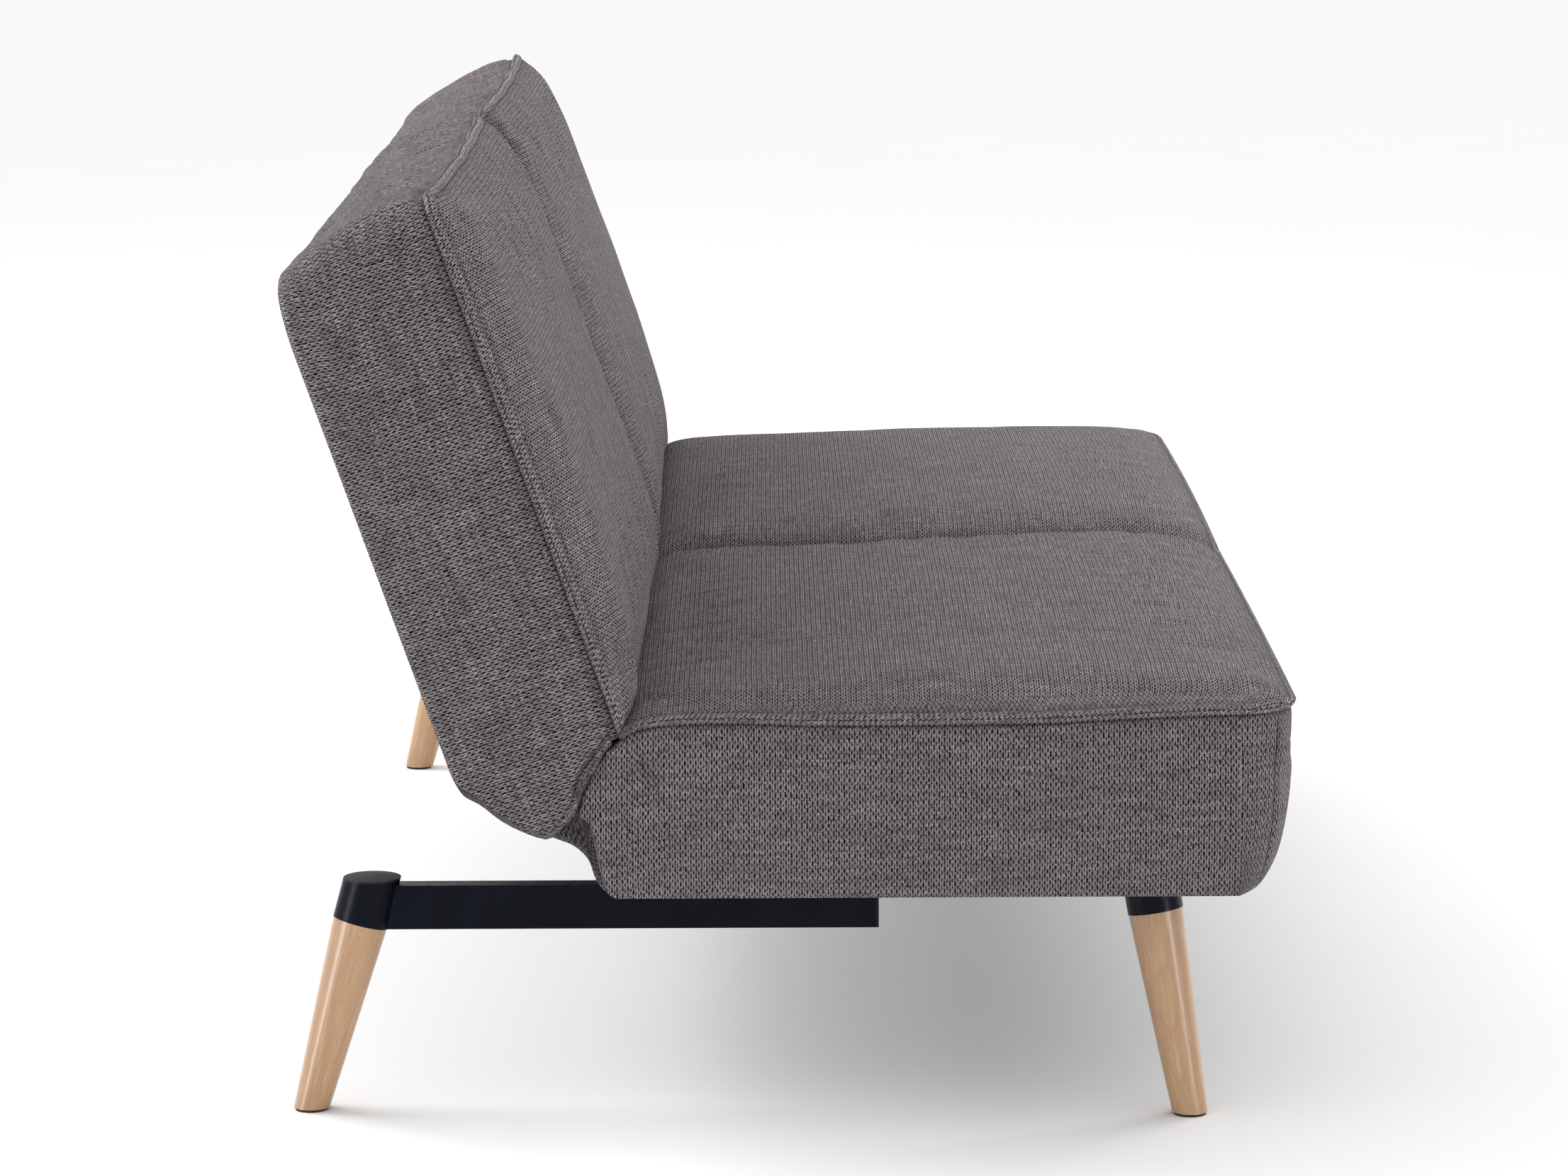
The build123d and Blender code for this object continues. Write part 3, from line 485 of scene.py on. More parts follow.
# ------------------------------------------------------------------ mesh helpers
def pchip(xs, ys):
    """Monotone cubic through points, as a function."""
    xs, ys = np.asarray(xs, float), np.asarray(ys, float)
    h = np.diff(xs)
    m = np.diff(ys) / h
    d = np.zeros_like(xs)
    for i in range(1, len(xs) - 1):
        if m[i - 1] * m[i] > 0:
            w1, w2 = 2 * h[i] + h[i - 1], h[i] + 2 * h[i - 1]
            d[i] = (w1 + w2) / (w1 / m[i - 1] + w2 / m[i])
    d[0], d[-1] = m[0], m[-1]

    def f(x):
        x = np.clip(np.asarray(x, float), xs[0], xs[-1])
        i = np.clip(np.searchsorted(xs, x) - 1, 0, len(h) - 1)
        t = (x - xs[i]) / h[i]
        return ((1 + 2 * t) * (1 - t) ** 2 * ys[i] + t * (1 - t) ** 2 * h[i] * d[i]
                + t * t * (3 - 2 * t) * ys[i + 1] + t * t * (t - 1) * h[i] * d[i + 1])
    return f


def along(points, n_or_t):
    """Points spaced by arc length along a smooth line through the given ones."""
    p = np.asarray(points, float)
    s = np.concatenate([[0], np.cumsum(np.linalg.norm(np.diff(p, axis=0), axis=1))])
    s /= s[-1]
    t = np.linspace(0, 1, n_or_t) if isinstance(n_or_t, int) else np.asarray(n_or_t)
    return np.stack([pchip(s, p[:, k])(t) for k in range(p.shape[1])], 1)


def ease(x, lo, hi):
    t = np.clip((x - lo) / (hi - lo), 0, 1)
    return t * t * (3 - 2 * t)


def lattice_noise(seed, size, cell):
    """Smooth noise of about -1 to 1 over a plane of metres: a function of (u, v)."""
    rng = np.random.default_rng(seed)
    g = rng.uniform(-1, 1, (size, size))

    def f(u, v):
        x, y = np.asarray(u) / cell + 0.5 * size, np.asarray(v) / cell + 0.5 * size
        i, j = np.floor(x).astype(int), np.floor(y).astype(int)
        a, b = x - i, y - j
        a, b = a * a * (3 - 2 * a), b * b * (3 - 2 * b)
        i0, i1, j0, j1 = i % size, (i + 1) % size, j % size, (j + 1) % size
        return ((g[i0, j0] * (1 - a) + g[i1, j0] * a) * (1 - b)
                + (g[i0, j1] * (1 - a) + g[i1, j1] * a) * b)
    return f


def edge_steps(length, first, step, middle=()):
    """Distances from one edge to the other: fine steps beside both edges, even ones between."""
    a = np.array(first) * MM
    n = max(2, int(round((length - 2 * a[-1]) / step)))
    mid = np.linspace(a[-1], length - a[-1], n + 1)
    out = np.concatenate([a[:-1], mid, (length - a[:-1])[::-1]])
    for m in middle:
        out = np.append(out, m)
    out = np.unique(np.round(out, 7))
    keep = [out[0]]
    for x in out[1:]:
        if x - keep[-1] > 1e-5:
            keep.append(x)
    return np.array(keep)


class Builder:
    def __init__(self):
        self.v, self.f, self.uv, self.m, self.extra = [], [], [], [], []
        self.n = 0

    def grid(self, P, UV, wrap=False, flip=False, mat=0, tuck_and_painted_shade=None):
        """P is [n, m, 3]; UV [n, m, 2] (n + 1 rows of UV where it wraps)."""
        n, m = P.shape[:2]
        idx = np.arange(n * m).reshape(n, m) + self.n
        self.v.append(P.reshape(-1, 3))
        # the per-point values carried here are painted shade for the knit shader
        self.extra.append(np.zeros(n * m) if tuck_and_painted_shade is None else tuck_and_painted_shade.reshape(-1))
        self.n += n * m
        rows = n if wrap else n - 1
        for i in range(rows):
            k = (i + 1) % n
            a, b, c, d = idx[i, :-1], idx[k, :-1], idx[k, 1:], idx[i, 1:]
            ua, ub, uc, ud = UV[i, :-1], UV[i + 1, :-1], UV[i + 1, 1:], UV[i, 1:]
            if flip:
                q, u = (a, d, c, b), (ua, ud, uc, ub)
            else:
                q, u = (a, b, c, d), (ua, ub, uc, ud)
            self.f.append(np.stack(q, 1))
            self.uv.append(np.stack(u, 1))
            self.m.append(np.full(len(a), mat))

    def strips(self, P, maps, tuck_and_painted_shade, mat=0):
        """A closed band given one strip at a time: maps holds each strip's two rows of U and of V."""
        n, m = P.shape[:2]
        idx = np.arange(n * m).reshape(n, m) + self.n
        self.v.append(P.reshape(-1, 3))
        self.extra.append(tuck_and_painted_shade.reshape(-1))
        self.n += n * m
        for i, (u0, u1, v0, v1) in enumerate(maps):
            k = (i + 1) % n
            r0, r1 = np.stack([u0, v0], 1), np.stack([u1, v1], 1)
            self.f.append(np.stack((idx[i, :-1], idx[k, :-1], idx[k, 1:], idx[i, 1:]), 1))
            self.uv.append(np.stack((r0[:-1], r1[:-1], r1[1:], r0[1:]), 1))
            self.m.append(np.full(m - 1, mat))

    def object(self, name, mats, weld=2e-6, smooth=True):
        v = np.concatenate(self.v)
        f = np.concatenate(self.f)
        uv = np.concatenate(self.uv)
        m = np.concatenate(self.m)
        ex = np.concatenate(self.extra)
        key = np.round(v / weld).astype(np.int64)
        _, first, inv = np.unique(key, axis=0, return_index=True, return_inverse=True)
        inv = inv.reshape(-1)
        v, ex, f = v[first], ex[first], inv[f]
        # drop faces that closed up
        same = np.array([len(set(r)) for r in f])
        good = same == 4
        tri = same == 3
        polys = [list(r) for r in f[good]]
        uvs = [list(map(tuple, r)) for r in uv[good]]
        mm = list(m[good])
        for r, u, k in zip(f[tri], uv[tri], m[tri]):
            pr, pu = [], []
            for a, b in zip(r, u):
                if a not in pr:
                    pr.append(a)
                    pu.append(tuple(b))
            polys.append(pr)
            uvs.append(pu)
            mm.append(k)
        me = bpy.data.meshes.new(name)
        me.from_pydata(v.tolist(), [], [[int(i) for i in p] for p in polys])
        me.update()
        layer = me.uv_layers.new(name="cloth")
        flat = np.array([c for u in uvs for c in u], np.float32)
        layer.data.foreach_set("uv", flat.ravel())
        # per-point painted shade (painted highlight where negative), read by the knit shader
        att = me.attributes.new("tuck_and_painted_shade", "FLOAT", "POINT")
        att.data.foreach_set("value", ex.astype(np.float32))
        for mt in mats:
            me.materials.append(mt)
        me.polygons.foreach_set("material_index", np.array(mm, np.int32))
        me.polygons.foreach_set("use_smooth", np.full(len(me.polygons), smooth))
        me.update()
        ob = bpy.data.objects.new(name, me)
        scene.collection.objects.link(ob)
        return ob


def cumulative(P, axis):
    """Metres along a grid's axis, averaged over the other."""
    d = np.linalg.norm(np.diff(P, axis=axis), axis=2)
    d = d.mean(axis=1 - axis)
    return np.concatenate([[0], np.cumsum(d)])


def metric_map(P, u0=0.0, v0=0.0):
    """Metres along each line of a panel grid, measured from its middle: across rows, along columns."""
    nc, nq = P.shape[:2]
    a = np.linalg.norm(np.diff(P, axis=1), axis=2)
    U = np.concatenate([np.zeros((nc, 1)), np.cumsum(a, 1)], 1)
    U = U - U[:, nq // 2][:, None]
    a = np.linalg.norm(np.diff(P, axis=0), axis=2)
    V = np.concatenate([np.zeros((1, nq)), np.cumsum(a, 0)], 0)
    V = V - V[nc // 2][None, :]
    return np.stack([U + u0, V + v0], 2)


# ------------------------------------------------------------------ plan of a cushion
class Plan:
    """A rounded rectangle in a plane, mapped from columns c in -1..1 and rows q in 0..1."""

    def __init__(self, hx, lo, hi, r_lo, r_hi, c0):
        self.hx, self.lo, self.hi, self.r_lo, self.r_hi, self.c0 = hx, lo, hi, r_lo, r_hi, c0

    def edge(self, c, r):
        s, a = np.sign(c), np.abs(c)
        ang = np.clip((a - self.c0) / (1 - self.c0), 0, 1) * math.pi / 2
        x = np.where(a <= self.c0, (self.hx - r) * a / self.c0, self.hx - r + r * np.sin(ang))
        inset = np.where(a <= self.c0, 0.0, r * (1 - np.cos(ang)))
        return s * x, inset, ang

    def at(self, c, q):
        xl, il, _ = self.edge(c, self.r_lo)
        xh, ih, _ = self.edge(c, self.r_hi)
        x = xl * (1 - q) + xh * q
        y = (self.lo + il) * (1 - q) + (self.hi - ih) * q
        return x, y

    def inside(self, x, y):
        """Distance in from the outline, and the outward direction there."""
        r = np.where(y < (self.lo + self.hi) / 2, self.r_lo, self.r_hi)
        mid, half = (self.lo + self.hi) / 2, (self.hi - self.lo) / 2
        ax, ay = np.abs(x) - (self.hx - r), np.abs(y - mid) - (half - r)
        cx, cy = np.maximum(ax, 0), np.maximum(ay, 0)
        out = np.hypot(cx, cy)
        d = -(out + np.minimum(np.maximum(ax, ay), 0) - r)
        nx = np.where(out > 1e-9, cx / np.maximum(out, 1e-9), (ax > ay).astype(float))
        ny = np.where(out > 1e-9, cy / np.maximum(out, 1e-9), (ay >= ax).astype(float))
        return np.maximum(d, 0), nx * np.sign(x), ny * np.sign(y - mid)

    def normal(self, c, q):
        """Outward direction at the outline's own points."""
        _, _, ang = self.edge(c, 1.0)
        on_edge = (q <= 1e-9) | (q >= 1 - 1e-9)
        nx = np.where(on_edge, np.sin(ang) * np.sign(c), np.sign(c))
        ny = np.where(on_edge, np.cos(ang) * np.where(q > 0.5, 1, -1), 0.0)
        return nx, ny


def loop_of(cs, qs):
    """The outline's points, as (c, q), once round: low edge, +X end, high edge, -X end."""
    low = [(c, 0.0) for c in cs]
    plus = [(1.0, q) for q in qs[1:-1]]
    high = [(c, 1.0) for c in cs[::-1]]
    minus = [(-1.0, q) for q in qs[::-1][1:-1]]
    return np.array(low + plus + high + minus)


def loop_index(loop, cs, qs):
    """Where each outline point lies in the loop of another pair of arrays, as a fraction."""
    nc, nq = len(cs), len(qs)
    fc = np.interp(loop[:, 0], cs, np.arange(nc))
    fq = np.interp(loop[:, 1], qs, np.arange(nq))
    out = np.zeros(len(loop))
    for k, (c, q) in enumerate(loop):
        if q <= 0:
            out[k] = fc[k]
        elif q >= 1:
            out[k] = (nc - 1) + (nq - 1) + (nc - 1 - fc[k])
        elif c > 0:
            out[k] = (nc - 1) + fq[k]
        else:
            out[k] = 2 * (nc - 1) + (nq - 1) + (nq - 1 - fq[k])
    return out


def cubic_weights(f, n, wrap=False):
    """Catmull-Rom taps for a fractional index."""
    i = np.floor(f).astype(int)
    if not wrap:
        i = np.clip(i, 0, n - 2)
    t = f - i
    w = np.stack([-0.5 * t + t ** 2 - 0.5 * t ** 3, 1 - 2.5 * t ** 2 + 1.5 * t ** 3,
                  0.5 * t + 2 * t ** 2 - 1.5 * t ** 3, -0.5 * t ** 2 + 0.5 * t ** 3], 1)
    k = np.stack([i - 1, i, i + 1, i + 2], 1)
    k = k % n if wrap else np.clip(k, 0, n - 1)
    return k, w


def resample(G, fi, fj, wrap_i=False):
    """G[n, m, k] read at fractional rows fi and columns fj."""
    k, w = cubic_weights(fi, G.shape[0], wrap_i)
    A = (G[k] * w[:, :, None, None]).sum(1)
    k, w = cubic_weights(fj, G.shape[1])
    return (A[:, k] * w[None, :, :, None]).sum(2)


def blur(G, times, wrap_i=False):
    """A plain neighbour blur of a grid of vectors, edges held."""
    G = G.copy()
    for _ in range(times):
        P = np.concatenate([G[:1], G, G[-1:]], 0) if not wrap_i else np.concatenate([G[-1:], G, G[:1]], 0)
        G = 0.25 * P[:-2] + 0.5 * P[1:-1] + 0.25 * P[2:]
        P = np.concatenate([G[:, :1], G, G[:, -1:]], 1)
        G = 0.25 * P[:, :-2] + 0.5 * P[:, 1:-1] + 0.25 * P[:, 2:]
    return G


# the folded edge of the big panel: distance in from the fold -> (offset outward, height)
WELT_D = np.array([0, .25, .6, 1.1, 1.8, 2.6, 3.6, 4.8, 6.4, 8.6, 13.0]) * MM
WELT_O = np.array([0, 1.10, 2.05, 2.65, 2.60, 1.70, .10, -1.9, -3.7, -6.2, -13.0]) * MM
WELT_H = np.array([0, .10, 1.10, 2.7, 4.5, 6.1, 7.2, 7.4, 6.1, 6.9, 8.0]) * MM
# painted shade and painted highlight by distance in from the fold: darker just inside the welt (positive), paler on
# its roll (negative)
WELT_PAINTED_SHADE = np.array([0, -.5, -.8, -1., -1., -.9, -.7, -.2, .75, .25, 0.0])
WELT_TOP = 8.0 * MM
# below the fold the band is sewn in behind it: (offset outward, height)
TUCK = np.array([(.2, -.55), (-.3, -.9), (-1.1, -.7), (-1.9, -.2), (-2.2, -.9), (-1.8, -2.0),
                 (-1.3, -3.3), (-.85, -5.0), (-.5, -7.5)]) * MM
# painted shadow line under the welt, on the band's first rows
TUCK_SHADE = np.array([.1, .5, .9, 1., 1., .85, .40, .12, .03])
FIRST = (0, .25, .6, 1.1, 1.8, 2.6, 3.6, 4.8, 6.4, 8.6, 11.6, 15.6, 20.6)


def panel_painted_shade(x, d, reach=0.031, deep=0.66, power=4):
    """Painted shade in the sewn valley and beside the welt, painted highlight on the welt's roll."""
    # painted shade down the sewn valley: a narrow line and a wider band
    seam = 0.20 * np.exp(-(np.abs(x) / 0.0050) ** 2) + deep * np.exp(-(np.abs(x) / reach) ** power)
    return np.maximum(np.interp(d, WELT_D, WELT_PAINTED_SHADE), -1) + seam * (1 - np.exp(-d / 0.010))


class Cushion:
    """Fine and coarse rows and columns for a panel and its band, both sampled by their own parameters; separate
    functions give the shape.
    """

    def __init__(self, plan, step, bands):
        self.plan = plan
        L = plan.hi - plan.lo
        self.q_fine = edge_steps(L, FIRST, step) / L
        half = plan.hx - max(plan.r_lo, plan.r_hi)
        near = np.array([0, .5, 1.1, 1.9, 3.0, 4.6, 7.0, 10.5, 15.5, 21.5]) * MM
        far = np.linspace(near[-1], half, int(round((half - near[-1]) / step)) + 1)
        c_half = np.concatenate([near[:-1], far]) / half * plan.c0
        arc = plan.c0 + (1 - plan.c0) * np.array(
            [.10, .20, .30, .38, .44, .47, .487, .50, .513, .53, .56, .62, .70, .77, .83, .88, .92, .96, 1.0])
        c_half = np.concatenate([c_half, arc])
        self.c_fine = np.concatenate([-c_half[::-1], c_half[1:]])
        self.t_fine = bands

    def coarse(self, step):
        plan = self.plan
        L = plan.hi - plan.lo
        nq = int(round(L / step)) + 1
        self.q_c = np.linspace(0, 1, nq)
        half = plan.hx - max(plan.r_lo, plan.r_hi)
        n = int(round(half / step))
        c_half = np.concatenate([np.linspace(0, plan.c0, n + 1), plan.c0 + (1 - plan.c0) * np.array([.25, .5, .75, 1.0])])
        self.c_c = np.concatenate([-c_half[::-1], c_half[1:]])
        self.t_c = np.linspace(0, 1, 12)


def stitches(name, path, normals, mat, pitch=5.4 * MM, long=3.5 * MM, wide=1.45 * MM, high=0.35 * MM, closed=False,
             start=0.0, lift=0.0):
    """A row of thread stitches lying on a surface: one small rounded loop for each."""
    p = np.asarray(path, float)
    nrm = np.asarray(normals, float)
    if closed:
        p, nrm = np.concatenate([p, p[:1]]), np.concatenate([nrm, nrm[:1]])
    s = np.concatenate([[0], np.cumsum(np.linalg.norm(np.diff(p, axis=0), axis=1))])
    at = np.arange(start + pitch * 0.5, s[-1] - pitch * 0.5, pitch)
    rng = np.random.default_rng(len(at))
    at = at + rng.uniform(-.35, .35, len(at)) * MM
    def on(x):
        return np.stack([np.interp(x, s, p[:, k]) for k in range(3)], 1)
    c = on(at)
    d = on(at + long * 0.5) - on(at - long * 0.5)
    d /= np.linalg.norm(d, axis=1)[:, None]
    n = np.stack([np.interp(at, s, nrm[:, k]) for k in range(3)], 1)
    n -= (n * d).sum(1)[:, None] * d
    n /= np.linalg.norm(n, axis=1)[:, None]
    b = np.cross(d, n)
    prof = np.array([(-.5, .0, -.9), (-.46, .55, -.35), (-.3, .9, .5), (0, 1.0, .95), (.3, .9, .5), (.46, .55, -.35), (.5, .0, -.9)])
    ring = np.array([(math.cos(a), math.sin(a)) for a in np.linspace(0, 2 * math.pi, 7)[:-1]])
    V, F = [], []
    for k in range(len(at)):
        base = len(V) * 1
        turn = rng.uniform(-.12, .12)
        dd = d[k] * math.cos(turn) + b[k] * math.sin(turn)
        bb = np.cross(dd, n[k])
        start_i = len(V)
        for (a, w, h) in prof:
            centre = c[k] + dd * a * long + n[k] * (h * high * 0.5 + lift)
            for (x, y) in ring:
                V.append(centre + bb * x * wide * 0.5 * max(w, .15) + n[k] * y * wide * 0.42 * max(w, .15))
        m = len(ring)
        for i in range(len(prof) - 1):
            for j in range(m):
                F.append((start_i + i * m + j, start_i + i * m + (j + 1) % m,
                          start_i + (i + 1) * m + (j + 1) % m, start_i + (i + 1) * m + j))
        F.append(tuple(start_i + j for j in range(m))[::-1])
        F.append(tuple(start_i + (len(prof) - 1) * m + j for j in range(m)))
    me = bpy.data.meshes.new(name)
    me.from_pydata([tuple(x) for x in V], [], F)
    me.materials.append(mat)
    me.polygons.foreach_set("use_smooth", np.full(len(me.polygons), True))
    me.update()
    ob = bpy.data.objects.new(name, me)
    scene.collection.objects.link(ob)
    return ob


def surface_normals(P, wrap=False):
    du = np.gradient(P, axis=0)
    if wrap:
        du = (np.roll(P, -1, 0) - np.roll(P, 1, 0)) / 2
    dv = np.gradient(P, axis=1)
    n = np.cross(du, dv)
    return n / np.maximum(np.linalg.norm(n, axis=2), 1e-12)[:, :, None]


# ------------------------------------------------------------------ seat shape
SEAT = Plan(0.8935, -0.4425, 0.1490, 0.050, 0.005, 0.955)
seat_seam_side = pchip([-0.446, -0.366, -0.298, -0.206, -0.026, 0.057, 0.1025, 0.1323, 0.149],
                       [0.3770, 0.3755, 0.3730, 0.3690, 0.3680, 0.3702, 0.3692, 0.3648, 0.3560])
seat_crown = pchip([-0.445, -0.352, -0.269, -0.153, -0.070, 0.013, 0.079, 0.112, 0.133, 0.149],
                   [0.4012, 0.4006, 0.4012, 0.3998, 0.3960, 0.3916, 0.3876, 0.3843, 0.3802, 0.3740])
sn1, sn2, sn3 = lattice_noise(11, 64, 0.16), lattice_noise(12, 64, 0.055), lattice_noise(13, 64, 0.26)


def front_bow(x, y):
    """Each half of the front swells forward between the ends and the middle, the right one less."""
    a = np.clip(np.abs(x) / 0.8935, 0, 1)
    return np.where(x > 0, 0.0036, 0.0015) * np.sin(a * math.pi) ** 0.8 * (1 - ease(y, -0.42, -0.30))


def seat_top(c, q, fine=True):
    """Seat panel at columns c and rows q: [len(c), len(q), 3]."""
    C, Q = np.meshgrid(c, q, indexing="ij")
    x, y = SEAT.at(C, Q)
    d, nx, ny = SEAT.inside(x, y)
    d_end, d_front, d_rear = SEAT.hx - np.abs(x), y - SEAT.lo, SEAT.hi - y
    f = (1 - np.exp(-d_end / 0.034)) * (1 - np.exp(-d_front / 0.030)) * (1 - np.exp(-d_rear / 0.010))
    f *= 1 - np.exp(-d / 0.0045)
    zs = seat_seam_side(y)
    z = zs + (seat_crown(y) + 0.0012 - zs - WELT_TOP) * f
    # the two halves meet in a sewn valley at mid-length
    a = np.abs(x)
    z = z + (0.0085 + 0.0050 * (1 - ease(y, -0.44, -0.02))) * (1 - ease(a, 0.36, 0.86)) * f
    valley = 0.0220 * np.exp(-(a / 0.036) ** 1.6) + 0.0020 * np.exp(-(x / 0.0020) ** 2) + 0.0030 * np.exp(-(a / 0.12) ** 1.5)
    z = z - valley * (1 - np.exp(-d / 0.008)) * (0.45 + 0.55 * ease(d_front, 0.0, 0.055))
    # a long soft rise in each half, and use marks
    z = z + (0.0009 * sn1(x, y) + 0.0016 * sn3(x + 3, y) + 0.0004 * sn2(x, y)) * f * (1 - 0.8 * ease(x, 0.35, 0.80))
    if fine:
        o = np.interp(d, WELT_D, WELT_O) + d
        h = np.interp(d, WELT_D, WELT_H)
        near = d < WELT_D[-1]
        o = np.where(near, o, 0)
        x, y, z = x + nx * o, y + ny * o, z + np.where(near, h, WELT_TOP)
    else:
        z = z + WELT_TOP * np.clip(d / 0.006, 0, 1)
    return np.stack([x, y - front_bow(x, y), z], 2), d


# walls of the seat, from the seam down: (offset outward, drop as a share of the wall's height)
SEAT_H = 0.1575
SEAT_SIDE = np.array([(-.5, .05), (1.2, .20), (3.8, .45), (5.6, .75), (6.0, 1.0), (5.2, 1.22), (3.2, 1.40),
                      (1.0, 1.50), (-2.4, 1.56), (-7.0, 1.582)]) * (MM, 0.1)
SEAT_FRONT = np.array([(-.2, .05), (-.5, .18), (-.9, .35), (-1.5, .55), (-2.8, .75), (-6.2, .99), (-12.0, 1.23),
                       (-17.8, 1.38), (-23.5, 1.49), (-30.5, 1.555), (-41.0, 1.582)]) * (MM, 0.1)
SEAT_REAR = np.array([(6.0, .070), (15.3, .181), (21.4, .261), (28.3, .357), (32.3, .431), (34.4, .492), (35.0, .562),
                      (34.0, .622), (30.8, .712), (28.0, .803), (26.4, .865), (23.2, .983), (20.8, 1.086), (18.0, 1.204),
                      (15.8, 1.306), (13.6, 1.375), (10.2, 1.417), (4.0, 1.445)]) * (MM, 0.1)
SIDE_LINE, FRONT_LINE, REAR_LINE = (lambda t: along(SEAT_SIDE, t)), (lambda t: along(SEAT_FRONT, t)), (
    lambda t: along(SEAT_REAR, t))
SEAT_FLOOR = 0.2120
seat_rumple = lattice_noise(21, 64, 0.045)
seat_rumple2 = lattice_noise(22, 64, 0.11)


# folds pressed into the end walls: from (y, z) to (y, z), width, depth
PRESSED = ((0.131, 0.344, 0.127, 0.318, 0.0038, 0.0030), (0.119, 0.336, 0.114, 0.300, 0.0034, 0.0022),
           (0.1355, 0.331, 0.155, 0.303, 0.0034, 0.0018), (0.146, 0.300, 0.138, 0.268, 0.0040, 0.0020),
           (0.160, 0.262, 0.150, 0.236, 0.0050, 0.0014))


def pressed_fold(y, z, ya, za, yb, zb):
    """How much of a fold is present at y, z, and the distance to its side."""
    L = math.hypot(yb - ya, zb - za)
    ty, tz = (yb - ya) / L, (zb - za) / L
    s1 = (y - ya) * ty + (z - za) * tz
    s2 = -(y - ya) * tz + (z - za) * ty
    return ease(s1, -0.012, 0.008) * (1 - ease(s1, L - 0.008, L + 0.014)), s2


def seat_band(loop, t, fine=True):
    """Seat wall at outline points and shares t of the way down: [len(loop), len(t), 3]."""
    c, q = loop[:, 0], loop[:, 1]
    x, y = SEAT.at(c, q)
    nx, ny = SEAT.normal(c, q)
    ws, wf, wr = nx ** 2, np.where(ny < 0, ny ** 2, 0), np.where(ny > 0, ny ** 2, 0)
    zs = seat_seam_side(y)
    S, F, R = SIDE_LINE(t), FRONT_LINE(t), REAR_LINE(t)
    # each wall's own height down to the floor of the cover
    hs, hf, hr = S[-1, 1], F[-1, 1], R[-1, 1]
    ox = nx[:, None] * S[None, :, 0]
    oy = np.where((ny < 0)[:, None], ny[:, None] * F[None, :, 0], (np.maximum(ny, 0) ** 0.35)[:, None] * R[None, :, 0])
    g = ws[:, None] * S[None, :, 1] / hs + wf[:, None] * F[None, :, 1] / hf + wr[:, None] * R[None, :, 1] / hr
    z = zs[:, None] - g * (zs - SEAT_FLOOR)[:, None]
    per = np.concatenate([[0], np.cumsum(np.hypot(np.diff(x), np.diff(y)))])
    mask = np.sin(np.clip(t, 0, 1) * math.pi)[None, :]
    S2 = per[:, None] + 0 * t[None, :]
    V2 = (zs[:, None] - z)
    o = 0.0012 * seat_rumple2(S2, V2) * mask + 0.0005 * seat_rumple(S2 * 1.0, V2) * mask
    if fine:
        # sewn seams down the middle of the front corners
        frac = np.clip((np.abs(c) - SEAT.c0) / (1 - SEAT.c0), 0, 1)
        seam = np.where(ny < 0, np.exp(-((frac - 0.5) / 0.022) ** 2), 0)[:, None]
        o = o - 0.0016 * seam
        puff = np.where(ny < 0, np.exp(-((np.abs(frac - 0.5) - 0.075) / 0.04) ** 2), 0)[:, None]
        o = o + 0.0007 * puff * mask
        # folds that the crease presses into the end walls, and the little flap below it
        yy, zz = y[:, None] + oy, z
        for ya, za, yb, zb, wide, deep in PRESSED:
            m, s2 = pressed_fold(yy, zz, ya, za, yb, zb)
            o = o + ws[:, None] * m * deep * (0.7 * np.exp(-((s2 - 1.6 * wide) / wide) ** 2) - np.exp(-(s2 / wide) ** 2))
        end = ease(np.abs(x), 0.862, 0.888)[:, None] * wr[:, None] ** 0.5
        o = o + 0.0075 * end * np.exp(-((z - 0.2885) / 0.0055) ** 2)
        end = ease(np.abs(x), 0.80, 0.87)[:, None] * wr[:, None] ** 0.5
        o = o + 0.0030 * end * np.exp(-((z - 0.3455) / 0.0070) ** 2)
    P = np.stack([x[:, None] + ox + nx[:, None] * o, y[:, None] + oy + ny[:, None] * o, z], 2)
    P[:, :, 1] -= front_bow(x, y)[:, None]
    return P, per


BAND_T = np.concatenate([np.linspace(0, 0.86, 27), np.linspace(0.875, 1.0, 9)])
seat = Cushion(SEAT, 0.0075, BAND_T)


